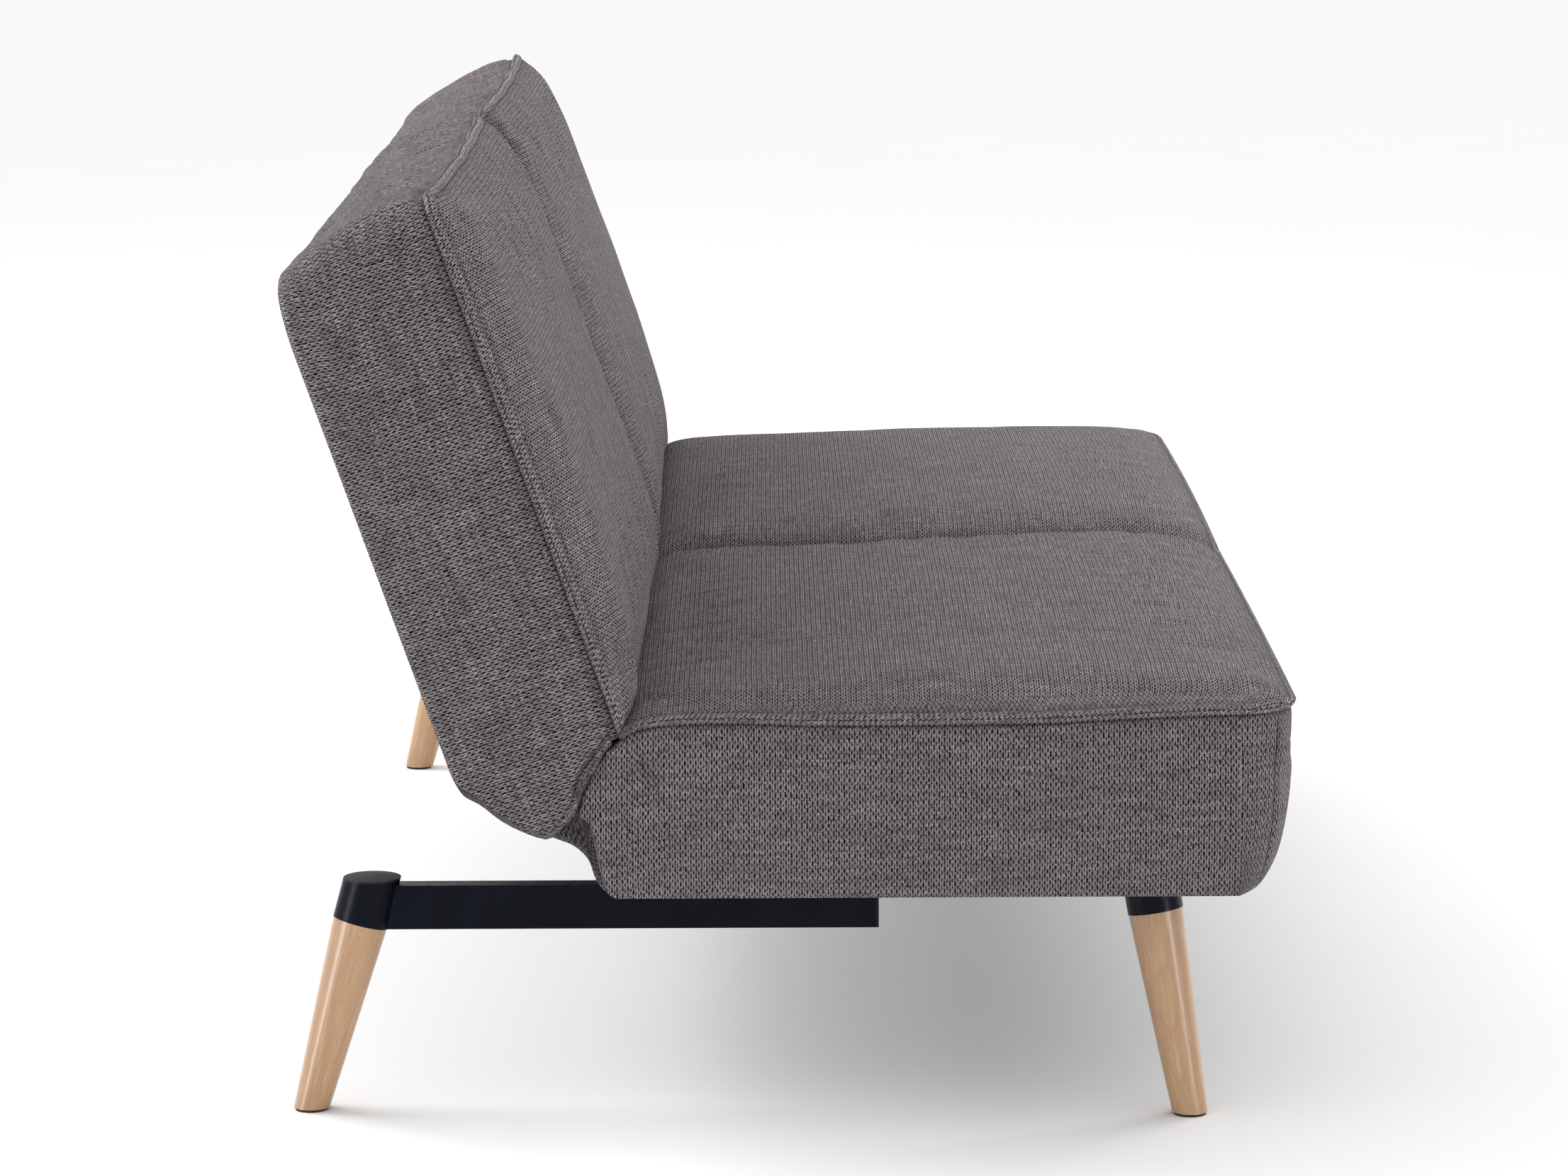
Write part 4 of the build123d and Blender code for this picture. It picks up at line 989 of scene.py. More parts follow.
def seat_mesh(delta_top=None, delta_band=None):
    cs, qs, ts = seat.c_fine, seat.q_fine, seat.t_fine
    top, d = seat_top(cs, qs)
    loop = loop_of(cs, qs)
    band, per = seat_band(loop, ts)
    if delta_top is not None:
        fade = np.clip((d - 0.004) / 0.02, 0, 1)
        top = top + delta_top(cs, qs) * (fade * fade * (3 - 2 * fade))[:, :, None]
        band = band + delta_band(loop, ts)
    nx, ny = SEAT.normal(loop[:, 0], loop[:, 1])
    x0, y0 = SEAT.at(loop[:, 0], loop[:, 1])
    z0 = seat_seam_side(y0)
    edge = np.stack([x0, y0 - front_bow(x0, y0), z0], 1)
    out = np.stack([nx, ny, 0 * nx], 1)
    rear = np.where(ny > 0, ny ** 2, 0)[:, None]
    # here: the rows of points of the tuck below the fold
    tuck_and_painted_shade = [edge] + [edge + out * (o + 0.0068 * rear * (-h / 0.0075) ** 0.85) + np.array([0, 0, h]) for o, h in TUCK]
    tuck_and_painted_shade = np.stack(tuck_and_painted_shade, 1)
    # the tuck runs out into the band's first rows
    band = band.copy()
    full = np.concatenate([tuck_and_painted_shade, band[:, 1:]], 1)
    b = Builder()
    # the seat panel's painted shade in its valley and at the welt
    b.grid(top, metric_map(top, 0.0, 0.0), flip=False, tuck_and_painted_shade=panel_painted_shade(top[:, :, 0], d))
    L = np.linalg.norm(np.diff(full, axis=1), axis=2)
    v = np.concatenate([np.zeros((len(full), 1)), np.cumsum(L, 1)], 1)
    per_closed = np.append(per, per[-1] + np.linalg.norm(edge[0] - edge[-1]))
    # on the end walls and round their rear corners the knit lies flat: it is mapped by Y and Z
    flat_side = np.abs(nx) * np.where(ny > 0, 1.0, np.where(np.abs(nx) > 0.999, 1.0, 0.0)) > 0.42
    ws = np.where(ny <= 0, nx ** 2, (np.abs(nx) > 0.42).astype(float))[:, None]
    drop = z0[:, None] - full[:, :, 2]
    V = ws * drop + (1 - ws) * v
    U = np.broadcast_to(per[:, None], V.shape).copy()
    plus, minus = flat_side & (nx > 0), flat_side & (nx < 0)
    k = int(np.argmin(np.where(plus, np.abs(loop[:, 1] - 0.5), 9)))
    U[plus] = full[plus][:, :, 1] - y0[k] + per[k]
    k = int(np.argmin(np.where(minus, np.abs(loop[:, 1] - 0.5), 9)))
    U[minus] = -(full[minus][:, :, 1] - y0[k]) + per[k]
    if minus[0]:
        U[0] -= per_closed[-1]
    U = np.concatenate([U, U[:1] + per_closed[-1]], 0)
    V = np.concatenate([V, V[:1]], 0)
    uvb = np.stack([U, -V - 2.0], 2)
    # painted shadow line under the welt on the band's first rows
    shade = np.zeros(full.shape[:2])
    shade[:, 1:1 + len(TUCK_SHADE)] = TUCK_SHADE
    # painted shade in the sewn grooves down the front corners
    frac = np.clip((np.abs(loop[:, 0]) - SEAT.c0) / (1 - SEAT.c0), 0, 1)
    seam = np.where(ny < 0, np.exp(-((frac - 0.5) / 0.018) ** 2), 0)[:, None]
    shade = np.maximum(shade, 0.8 * seam * (np.arange(full.shape[1]) > len(TUCK_SHADE))[None, :])
    # painted shade along the folds pressed into the end walls
    for ya, za, yb, zb, wide, deep in PRESSED:
        m, s2 = pressed_fold(full[:, :, 1], full[:, :, 2], ya, za, yb, zb)
        dark = 110 * deep * m * (nx ** 2)[:, None] * np.exp(-(s2 / (0.9 * wide)) ** 2)
        shade = np.maximum(shade, dark * (np.arange(full.shape[1]) > len(TUCK_SHADE))[None, :])
    b.grid(full, uvb, wrap=True, flip=True, tuck_and_painted_shade=shade)
    # hem turned in under the frame: in along the floor, then up over the cut edge
    last = full[:, -1]
    ins = [(0.010, -0.0002), (0.022, 0.0001), (0.036, 0.0002), (0.0475, 0.0001), (0.0500, 0.0006), (0.0505, 0.0016), (0.0480, 0.0020)]
    c, q = loop[:, 0], loop[:, 1]
    hemp = Plan(0.862, -0.3915, 0.121, 0.012, 0.012, SEAT.c0)
    hx, hy = hemp.at(c, q)
    goal = np.stack([hx, hy, 0 * hx + SEAT_FLOOR + 0.0003], 1)
    rows = [last]
    rip = lattice_noise(31, 64, 0.018)
    for s in (0.15, 0.32, 0.52, 0.72, 0.88, 0.97, 1.0):
        r = last * (1 - s) + goal * s
        r[:, 2] = last[:, 2] * (1 - s) + goal[:, 2] * s - 0.0004 * math.sin(s * math.pi) + 0.0003 * rip(per, 0 * per + s) * s
        rows.append(r)
    inner = goal.copy()
    inner[:, 2] += 0.0012
    rows.append(inner)
    back = inner + np.stack([nx, ny, 0 * nx], 1) * 0.004
    back[:, 2] += 0.0006
    rows.append(back)
    hem = np.stack(rows, 1)
    Lh = np.linalg.norm(np.diff(hem, axis=1), axis=2)
    vh = np.concatenate([np.zeros((len(hem), 1)), np.cumsum(Lh, 1)], 1) + v[:, -1:]
    uvh = np.stack(np.broadcast_arrays(per_closed[:, None], -np.concatenate([vh, vh[:1]], 0) - 2.0), 2)
    b.grid(hem, uvh, wrap=True, flip=True)
    return b, top, d, full, loop


# ------------------------------------------------------------------ back shape, in its own frame
TILT = math.radians(19.4)
CT, ST = math.cos(TILT), math.sin(TILT)
CY, CZ = 0.1534, 0.369


def back_global(x, v, u):
    """x along, v through the thickness to the rear, u up the back."""
    return np.stack([x, CY + u * ST + v * CT, CZ + u * CT - v * ST], -1)


BACK = Plan(0.8935, -0.0130, 0.4890, 0.004, 0.020, 0.978)
back_crown = pchip([-0.013, -0.004, 0.012, 0.030, 0.073, 0.120, 0.165, 0.235, 0.320, 0.409, 0.455, 0.489],
                   [0.0050, 0.0120, 0.0210, 0.0252, 0.0318, 0.0350, 0.0370, 0.0380, 0.0364, 0.0332, 0.0290, 0.0232])
bn1, bn2, bn3 = lattice_noise(41, 64, 0.15), lattice_noise(42, 64, 0.05), lattice_noise(43, 64, 0.28)


def top_bow(x):
    """How far the upper seam bows forward: nothing at the ends and at mid-length."""
    a = np.clip(np.abs(x) / 0.8935, 0, 1)
    return 0.0095 * np.sin(a * math.pi) ** 0.8 + 0.0012 * np.sin(x * 31.0) * np.sin(a * math.pi)


def back_panel(c, q, fine=True):
    C, Q = np.meshgrid(c, q, indexing="ij")
    x, u = BACK.at(C, Q)
    d, nx, ny = BACK.inside(x, u)
    d_end, d_low, d_top = BACK.hx - np.abs(x), u - BACK.lo, BACK.hi - u
    f = (1 - np.exp(-d_end / 0.027)) * (1 - np.exp(-d_top / 0.0165)) * (1 - np.exp(-d_low / 0.006))
    f *= 1 - np.exp(-d / 0.0045)
    h = (back_crown(u) + 0.0012 - WELT_TOP) * f
    h = np.where(back_crown(u) < WELT_TOP, (back_crown(u)) * f * 0.3, h)
    a = np.abs(x)
    deep = np.clip(back_crown(u) / 0.036, 0.25, 1)
    h = h + (0.0035 + 0.0045 * (1 - ease(u, 0.08, 0.24))) * (1 - ease(a, 0.36, 0.86)) * f
    valley = (0.0315 * np.exp(-(a / 0.0400) ** 2.3) + 0.0020 * np.exp(-(x / 0.0024) ** 2) + 0.0060 * np.exp(-(a / 0.12) ** 1.5)) * deep
    h = h - valley * (1 - np.exp(-d / 0.016))
    h = h + (0.0012 * bn1(x, u) + 0.0018 * bn3(x + 2, u) + 0.0005 * bn2(x, u)) * f
    # gathers that fan out from the upper seam and from the ends of the channel
    g = np.exp(-d_top / 0.045) * np.sin(x * 150 + 3 * bn1(x, 0 * u)) * 0.0011 * f
    h = h + g
    bow = top_bow(x) * np.exp(-d_top / 0.09)
    u = u - 0.006 * np.exp(-(a / 0.030) ** 2) * np.exp(-d_top / 0.05)
    low = np.clip(d_low / 0.012, 0, 1)
    if fine:
        o = np.interp(d, WELT_D, WELT_O) + d
        w = np.interp(d, WELT_D, WELT_H)
        near = d < WELT_D[-1]
        o = np.where(near, o, 0) * low
        x, u, h = x + nx * o, u + ny * o, h + np.where(near, w, WELT_TOP) * low
    else:
        h = h + WELT_TOP * np.clip(d / 0.006, 0, 1) * low
    return x, u, -h - bow, d


# band of the back as rings through the thickness
back_low = pchip(np.array([0, 9.5, 21.5, 30, 39.8, 46, 50.5, 54.4, 58, 62.5, 68, 74.4, 81, 87.4, 92, 98, 104.7, 111, 117, 127, 136, 142, 146.7, 149.8, 152]) * MM,
                 np.array([-13, -18, -25.6, -31.5, -38, -43.5, -48.6, -55.5, -61, -65, -67.8, -70.5, -74, -76.6, -75.2, -71, -66, -60.5, -54.6, -42, -29.8, -24, -19.5, -13, -4]) * MM)
back_high = pchip(np.array([0, 20, 50, 80, 110, 130, 142, 147.8, 150.8, 152]) * MM,
                  np.array([489, 489.5, 487.5, 483, 476, 470, 464.5, 456, 447, 437]) * MM)
back_half = pchip(np.array([0, 8, 40, 80, 120, 142, 149, 152]) * MM,
                  np.array([893, 894.5, 898.5, 899.5, 897.5, 893.5, 888, 881]) * MM)
THICK = 0.1520
bump1, bump2 = lattice_noise(51, 64, 0.05), lattice_noise(52, 64, 0.12)
sag_top = lattice_noise(53, 64, 0.21)
rip_top = lattice_noise(54, 64, 0.034)


def back_band(loop, vs):
    """Rings at depths vs behind the front seam: arrays x, v, u of [len(loop), len(vs)]."""
    c, q = loop[:, 0], loop[:, 1]
    X, U = [], []
    for v in vs:
        shape = Plan(float(back_half(v)), float(back_low(v)), float(back_high(v)), 0.004 + 0.05 * v, 0.020 + 0.019 * (1 - math.exp(-v / 0.02)), BACK.c0)
        x, u = shape.at(c, q)
        X.append(x)
        U.append(u)
    X, U = np.stack(X, 1), np.stack(U, 1)
    x0, u0 = BACK.at(c, q)
    nx, ny = BACK.normal(c, q)
    per = np.concatenate([[0], np.cumsum(np.hypot(np.diff(x0), np.diff(u0)))])
    V = np.broadcast_to(np.asarray(vs)[None, :], X.shape).copy()
    mask = np.clip(V / 0.012, 0, 1) * np.clip((THICK - V) / 0.012, 0, 1)
    r = (0.0011 * bump2(per[:, None] + 0 * V, V) + 0.0005 * bump1(per[:, None] + 0 * V, V)) * mask
    X, U = X + nx[:, None] * r, U + ny[:, None] * r
    topw = np.where(ny > 0, ny ** 2, 0)[:, None]
    # upper seam bow runs out over the top panel, and long soft hollows lie across it
    bow = top_bow(x0)[:, None] * np.exp(-V / 0.05) * topw
    dip = 0.006 * np.exp(-(np.abs(x0) / 0.030) ** 2)[:, None] * np.exp(-V / 0.03) * topw
    # the lower front edge of each end wall is rolled where the cover was pulled under
    endw = np.where(np.abs(nx) > 0.7, 1.0, 0.0)[:, None]
    above = U - np.array([float(back_low(v)) for v in vs])[None, :]
    span = ease(V, -0.003, 0.005) * (1 - ease(V, 0.052, 0.068))
    roll = 0.0030 * np.exp(-((above - 0.0045) / 0.0034) ** 2) - 0.0024 * np.exp(-((above - 0.0108) / 0.0022) ** 2)
    X = X + np.sign(nx)[:, None] * endw * roll * span
    gather = np.exp(-V / 0.10) * mask * topw
    U = U - dip + 0.0022 * sag_top(x0[:, None] + 0 * V, V * 2.2 + 1) * mask * topw
    U = U + 0.0030 * rip_top(x0[:, None] + 0.3 * V, V * 0.28) * gather + 0.0014 * rip_top(x0[:, None] * 1.7 + 4, V * 0.4 + 2) * mask * topw
    return X, V - bow, U, per


def back_rear(c, q):
    """The flat rear: a board under wadding, with a soft rise."""
    shape = Plan(float(back_half(THICK)), float(back_low(THICK)), float(back_high(THICK)), 0.0117, 0.039, BACK.c0)
    C, Q = np.meshgrid(c, q, indexing="ij")
    x, u = shape.at(C, Q)
    d, nx, ny = shape.inside(x, u)
    v = THICK + 0.0016 * (1 - np.exp(-d / 0.02)) + 0.0008 * bn1(x + 5, u) * (1 - np.exp(-d / 0.03)) * 1.0
    v = v + 0.0004 * bn2(x + 5, u) * (1 - np.exp(-d / 0.02))
    return x, u, v, d


BACK_V = np.concatenate([np.array([8.5, 11, 14, 18]), np.linspace(24, 128, 18), np.array([133, 137.5, 140.8, 143.6, 146, 147.8, 149.3, 150.5, 151.4, 152])]) * MM
back = Cushion(BACK, 0.0075, BACK_V)


def back_mesh(delta_panel=None, delta_band=None):
    cs, qs = back.c_fine, back.q_fine
    x, u, v, d = back_panel(cs, qs)
    P = back_global(x, v, u)
    if delta_panel is not None:
        fade = np.clip((d - 0.004) / 0.02, 0, 1)
        P = P + delta_panel(cs, qs) * (fade * fade * (3 - 2 * fade))[:, :, None]
    loop = loop_of(cs, qs)
    X, V, U, per = back_band(loop, back.t_fine)
    band = back_global(X, V, U)
    if delta_band is not None:
        band = band + delta_band(loop, back.t_fine)
    # fold line of the front panel, which the band is sewn behind
    nc, nq = len(cs), len(qs)
    ring = np.concatenate([P[:, 0], P[-1, 1:-1], P[::-1, -1], P[0, 1:-1][::-1]], 0)
    nx, ny = BACK.normal(loop[:, 0], loop[:, 1])
    outward = back_global(nx, 0 * nx, ny) - back_global(0 * nx, 0 * nx, 0 * nx)
    behind = back_global(0 * nx, np.ones(len(nx)), 0 * nx) - back_global(0 * nx, 0 * nx, 0 * nx)
    low = np.where((ny < -0.5), 0.25, 1.0)[:, None]
    rows = [ring] + [ring + outward * o * low + behind * (-h) for o, h in TUCK]
    full = np.concatenate([np.stack(rows, 1), band], 1)
    b = Builder()
    # the back panel's painted shade, wider and deeper in its channel
    b.grid(P, metric_map(P, 0.0, 0.0), flip=True, tuck_and_painted_shade=panel_painted_shade(x, d, 0.052, 0.80, 4))
    # the band: columns run through the thickness. Ends are mapped by height, upper and lower edges by length
    xl, vl, ul = (full @ np.array([1.0, 0, 0]), (full[:, :, 1] - CY) * CT - (full[:, :, 2] - CZ) * ST,
                  (full[:, :, 1] - CY) * ST + (full[:, :, 2] - CZ) * CT)
    L = np.linalg.norm(np.diff(full, axis=1), axis=2)
    w = np.concatenate([np.zeros((len(full), 1)), np.cumsum(L, 1)], 1)
    is_side = (np.abs(nx) > np.where(ny > 0, 0.62, 0.30))
    full_closed = np.concatenate([full, full[:1]], 0)
    seg = np.linalg.norm(np.diff(full_closed, axis=0), axis=2)
    acc = np.concatenate([np.zeros((1, full.shape[1])), np.cumsum(seg, 0)], 0)
    U = np.zeros(w.shape)
    Vm = np.where(is_side[:, None], vl, w - 0.004)
    n_all = len(full)
    for sgn in (1, -1):
        mid = int(np.argmin(np.abs(loop[:, 1] - 0.5) + 9 * (loop[:, 0] * sgn < 0.999)))
        rows = np.where(is_side & (nx * sgn > 0))[0]
        run = (acc[rows] - acc[mid][None, :]) * sgn
        U[rows] = ul[mid][None, :] + run
    tops = np.where(~is_side)[0]
    U[tops] = 1.40 - np.abs(xl[tops])
    U[tops] = np.where((ny[tops] < 0)[:, None], U[tops] + 2.0, U[tops])
    face_side = is_side | np.roll(is_side, -1)
    b2 = []
    for k in range(n_all):
        m = (k + 1) % n_all
        if is_side[k] == is_side[m]:
            b2.append((U[k], U[m], Vm[k], Vm[m]))
        elif is_side[k]:
            b2.append((U[k], U[k] + seg[k] * (1 if nx[k] > 0 else -1) * 1.0, Vm[k], vl[m]))
        else:
            b2.append((U[m] - seg[k] * (1 if nx[m] > 0 else -1) * 1.0, U[m], vl[k], Vm[m]))
    # painted shadow line under the welt
    shade = np.zeros(full.shape[:2])
    shade[:, 1:1 + len(TUCK_SHADE)] = TUCK_SHADE
    # painted shade in the hollow above each end wall's rolled lower edge, painted highlight on the roll
    above = ul - back_low(np.clip(vl, 0, THICK))
    span = ease(vl, 0.000, 0.007) * (1 - ease(vl, 0.054, 0.070)) * (np.abs(nx) > 0.7)[:, None]
    shade = np.maximum(shade, 0.85 * span * np.exp(-((above - 0.0108) / 0.0019) ** 2))
    shade = shade - 0.6 * span * np.exp(-((above - 0.0048) / 0.0030) ** 2)
    b.strips(full, b2, shade)
    xr, ur, vr, dr = back_rear(cs, qs)
    R = back_global(xr, vr, ur)
    ringr = np.concatenate([R[:, 0], R[-1, 1:-1], R[::-1, -1], R[0, 1:-1][::-1]], 0)
    full_last = full[:, -1]
    # weld the rear panel to the last ring
    R[:, 0] = full_last[:nc]
    R[-1, 1:-1] = full_last[nc:nc + nq - 2]
    R[::-1, -1] = full_last[nc + nq - 2:2 * nc + nq - 2]
    R[0, 1:-1] = full_last[2 * nc + nq - 2:][::-1]
    b.grid(R, np.stack(np.broadcast_arrays(ur + 5, xr), 2), flip=False)
    return b, P, d, full, loop, R


# ------------------------------------------------------------------ cloth simulation of the stuffed covers
def relax(panel, band, floor_ring, pin_panel, pressure, seed):
    """Inflates a coarse copy of a cover between its seams. Gives the panel's and the band's displacement."""
    nc, nq = panel.shape[:2]
    nl, nt = band.shape[:2]
    ring = ([i * nq for i in range(nc)] + [(nc - 1) * nq + j for j in range(1, nq - 1)]
            + [i * nq + nq - 1 for i in range(nc - 1, -1, -1)] + [j for j in range(nq - 2, 0, -1)])
    verts = [tuple(v) for v in panel.reshape(-1, 3)]
    ids = np.zeros((nl, nt), int)
    ids[:, 0] = ring
    base = len(verts)
    ids[:, 1:] = base + np.arange(nl * (nt - 1)).reshape(nl, nt - 1)
    verts += [tuple(v) for v in band[:, 1:].reshape(-1, 3)]
    faces = []
    for i in range(nc - 1):
        for j in range(nq - 1):
            k = i * nq + j
            faces.append((k, k + nq, k + nq + 1, k + 1))
    for i in range(nl):
        k = (i + 1) % nl
        for j in range(nt - 1):
            faces.append((ids[i, j], ids[i, j + 1], ids[k, j + 1], ids[k, j]))
    centre = len(verts)
    verts.append(tuple(band[:, -1].mean(0) + np.array(floor_ring)))
    for i in range(nl):
        faces.append((ids[i, -1], centre, ids[(i + 1) % nl, -1]))
    rng = np.random.default_rng(seed)
    me = bpy.data.meshes.new("relax")
    me.from_pydata(verts, [], [tuple(int(i) for i in f) for f in faces])
    me.validate()
    me.update()
    ob = bpy.data.objects.new("relax", me)
    scene.collection.objects.link(ob)
    # outward faces
    vol = 0.0
    co = np.array(verts)
    for f in faces:
        a = co[f[0]]
        for m in range(1, len(f) - 1):
            vol += a @ np.cross(co[f[m]], co[f[m + 1]])
    if vol < 0:
        me.flip_normals()
    pins = set(int(i) for i in ids[:, 0]) | set(int(i) for i in ids[:, -1]) | {centre}
    pins |= set((int(i) * nq + int(j)) for i, j in zip(*np.where(pin_panel)))
    vg = ob.vertex_groups.new(name="pin")
    vg.add(sorted(pins), 1.0, "REPLACE")
    loose = [i for i in range(len(verts)) if i not in pins]
    # a faint start so that folds have somewhere to begin
    start = np.array(verts)
    start[loose] += rng.normal(0, 0.0002, (len(loose), 3))
    me.vertices.foreach_set("co", start.astype(np.float32).ravel())
    me.update()
    md = ob.modifiers.new("cloth", "CLOTH")
    st = md.settings
    st.quality, st.mass = 5, 0.35
    st.tension_stiffness = st.compression_stiffness = 22.0
    st.shear_stiffness, st.bending_stiffness = 9.0, 0.6
    st.tension_damping = st.compression_damping = st.shear_damping = 8.0
    st.bending_damping, st.air_damping = 1.0, 4.0
    st.vertex_group_mass, st.pin_stiffness = "pin", 1.0
    st.shrink_min = -0.022
    st.use_pressure, st.uniform_pressure_force = True, pressure
    st.effector_weights.gravity = 0.0
    md.collision_settings.use_self_collision = False
    md.collision_settings.use_collision = False
    md.point_cache.frame_start, md.point_cache.frame_end = 1, 20
    for fr in range(1, 21):
        scene.frame_set(fr)
    dg = bpy.context.evaluated_depsgraph_get()
    ev = ob.evaluated_get(dg).to_mesh()
    out = np.zeros(len(verts) * 3, np.float32)
    ev.vertices.foreach_get("co", out)
    out = out.reshape(-1, 3).astype(float) - np.array(verts)
    scene.frame_set(1)
    bpy.data.objects.remove(ob)
    bpy.data.meshes.remove(me)
    size = np.linalg.norm(out, axis=1)
    print("relax: free %d, mean %.2f mm, max %.2f mm" % (len(loose), size[loose].mean() * 1e3, size.max() * 1e3))
    dp = out[:nc * nq].reshape(nc, nq, 3)
    db = out[ids]
    return dp, db


def keep_folds(D, times, share, cap, wrap_i=False):
    """The folds of a displacement: most of its broad swell removed, and its size capped."""
    low = blur(D, times, wrap_i)
    D = (D - low) + share * low
    n = np.linalg.norm(D, axis=2)
    D = D * (cap * np.tanh(n / cap) / np.maximum(n, 1e-9))[:, :, None]
    return D


def relaxed(cushion, panel_fn, band_fn, floor_ring, valley, pressure, seed, cap, calm=0.0):
    cushion.coarse(0.0165)
    cc, qc = cushion.c_c, cushion.q_c
    panel = panel_fn(cc, qc)
    loop = loop_of(cc, qc)
    band = band_fn(loop)
    pin = np.zeros(panel.shape[:2], bool)
    pin[len(cc) // 2] = valley
    pin[0], pin[-1], pin[:, 0], pin[:, -1] = True, True, True, True
    dp, db = relax(panel, band, floor_ring, pin, pressure, seed)
    dp = keep_folds(dp, 14, 0.07, cap)
    db = keep_folds(db, 10, 0.14, cap * 0.8, True)

    def on_panel(cs, qs):
        fi = np.interp(cs, cc, np.arange(len(cc)))
        fj = np.interp(qs, qc, np.arange(len(qc)))
        clear = 1 - np.exp(-(cs * cushion.plan.hx / 0.040) ** 2)
        clear = clear * (1 - calm * ease(np.asarray(cs), 0.40, 0.85))
        return resample(dp, fi, fj) * clear[:, None, None]

    def on_band(loop_f, t):
        fi = loop_index(loop_f, cc, qc)
        edge = ease(np.asarray(t), 0.0, 0.22) * np.clip((1 - t) / 0.05, 0, 1)
        return resample(db, fi, np.asarray(t) * (db.shape[1] - 1), True) * edge[None, :, None]
    return on_panel, on_band


def coarse_seat_top(cc, qc):
    return seat_top(cc, qc, fine=False)[0]


def coarse_back_panel(cc, qc):
    x, u, v, d = back_panel(cc, qc, fine=False)
    return back_global(x, v, u)


seat_on = back_on = (None, None)
seat_on = relaxed(seat, coarse_seat_top, lambda loop: seat_band(loop, np.linspace(0, 1, 12), fine=False)[0],
                  (0, 0, 0), True, 4.0, 3, 0.0024, 0.85)

def coarse_back_band(loop):
    vs = np.linspace(0, THICK, 12)
    X, V, U, _ = back_band(loop, vs)
    return back_global(X, V, U)
back_on = relaxed(back, coarse_back_panel, coarse_back_band,
                  (0, 0.01 * CT, -0.01 * ST), True, 4.0, 4, 0.0045)
back_band_folds = back_on[1]
back_on = (back_on[0], lambda loop, vs: back_band_folds(loop, np.asarray(vs) / THICK))

# ------------------------------------------------------------------ build the cushions
bs, top_pts, top_d, seat_full, seat_loop = seat_mesh(*seat_on)
seat_ob = bs.object("seat_cushion_cover", [M["knit"]])
bb, panel_pts, panel_d, back_full, back_loop, rear_pts = back_mesh(*back_on)
back_ob = bb.object("back_cushion_cover", [M["knit"]])

for ob, body, cad in ((seat_ob, "base", ("seat_cover", "seat_foam")),
                      (back_ob, "backrest", ("back_cover", "back_foam"))):
    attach(ob, body)
    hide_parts(*cad)

def seat_rows():
    loop = seat_loop
    x, y = SEAT.at(loop[:, 0], loop[:, 1])
    nx, ny = SEAT.normal(loop[:, 0], loop[:, 1])
    z = seat_seam_side(y)
    n = np.stack([nx, ny, 0.35 + 0 * nx], 1)
    p = np.stack([x, y - front_bow(x, y), z + 0.0043], 1) + np.stack([nx, ny, 0 * nx], 1) * 0.00262
    return p, n


p_s, n_s = seat_rows()
seat_stitch = stitches("seat_seam_stitches", p_s, n_s, M["thread"], closed=True)
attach(seat_stitch, "base")


def back_rows():
    loop = back_loop
    ring = back_full[:, 0]
    nx, ny = BACK.normal(loop[:, 0], loop[:, 1])
    zero = back_global(0 * nx, 0 * nx, 0 * nx)
    outward = back_global(nx, 0 * nx, ny) - zero
    front = zero - back_global(0 * nx, np.ones(len(nx)), 0 * nx)
    p = ring + outward * 0.00262 + front * 0.0043
    keep = ~((ny < -0.2))
    start = int(np.argmax((~keep) & np.roll(keep, -1))) + 1
    order = [(start + k) % len(loop) for k in range(len(loop)) if keep[(start + k) % len(loop)]]
    return p[order], (outward + 0.35 * front)[order]


p_b, n_b = back_rows()
back_stitch = stitches("back_seam_stitches", p_b, n_b, M["thread"])
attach(back_stitch, "backrest")

def valley_rows(pts, d, sign):
    mid = pts.shape[0] // 2
    k = mid + sign * 5
    n = surface_normals(pts)
    ok = d[k] > 0.0085
    return pts[k][ok], n[k][ok] * (1 if n[mid + 20, pts.shape[1] // 2] @ np.array([0, -1, 2.0]) > 0 else -1)


for name, pts, d, body in (("seat_centre_stitches", top_pts, top_d, "base"),
                           ("back_centre_stitches", panel_pts, panel_d, "backrest")):
    parts = []
    for sign in (1, -1):
        p, n = valley_rows(pts, d, sign)
        parts.append(stitches(name + str(sign + 1), p, n, M["thread"], wide=1.3 * MM, start=0.001 * (sign + 1)))
    a_ob, b_ob = parts
    me = bpy.data.meshes.new(name)
    va = [tuple(v.co) for v in a_ob.data.vertices] + [tuple(v.co) for v in b_ob.data.vertices]
    na = len(a_ob.data.vertices)
    fa = [tuple(q.vertices) for q in a_ob.data.polygons] + [tuple(i + na for i in q.vertices) for q in b_ob.data.polygons]
    for o in (a_ob, b_ob):
        bpy.data.objects.remove(o)
    me.from_pydata(va, [], fa)
    me.materials.append(M["thread"])
    me.polygons.foreach_set("use_smooth", np.full(len(me.polygons), True))
    me.update()
    ob = bpy.data.objects.new(name, me)
    scene.collection.objects.link(ob)
    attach(ob, body)

# ------------------------------------------------------------------ fabric across the crease, underneath
GUSSET = np.array([(0.2150, 0.2750), (0.2118, 0.2658), (0.2042, 0.2617), (0.1950, 0.2577), (0.1862, 0.2514), (0.1790, 0.2425),
                   (0.1746, 0.2305), (0.1700, 0.2222), (0.1620, 0.2150), (0.1480, 0.2126)])
APEX = np.array([0.1835, 0.2890])


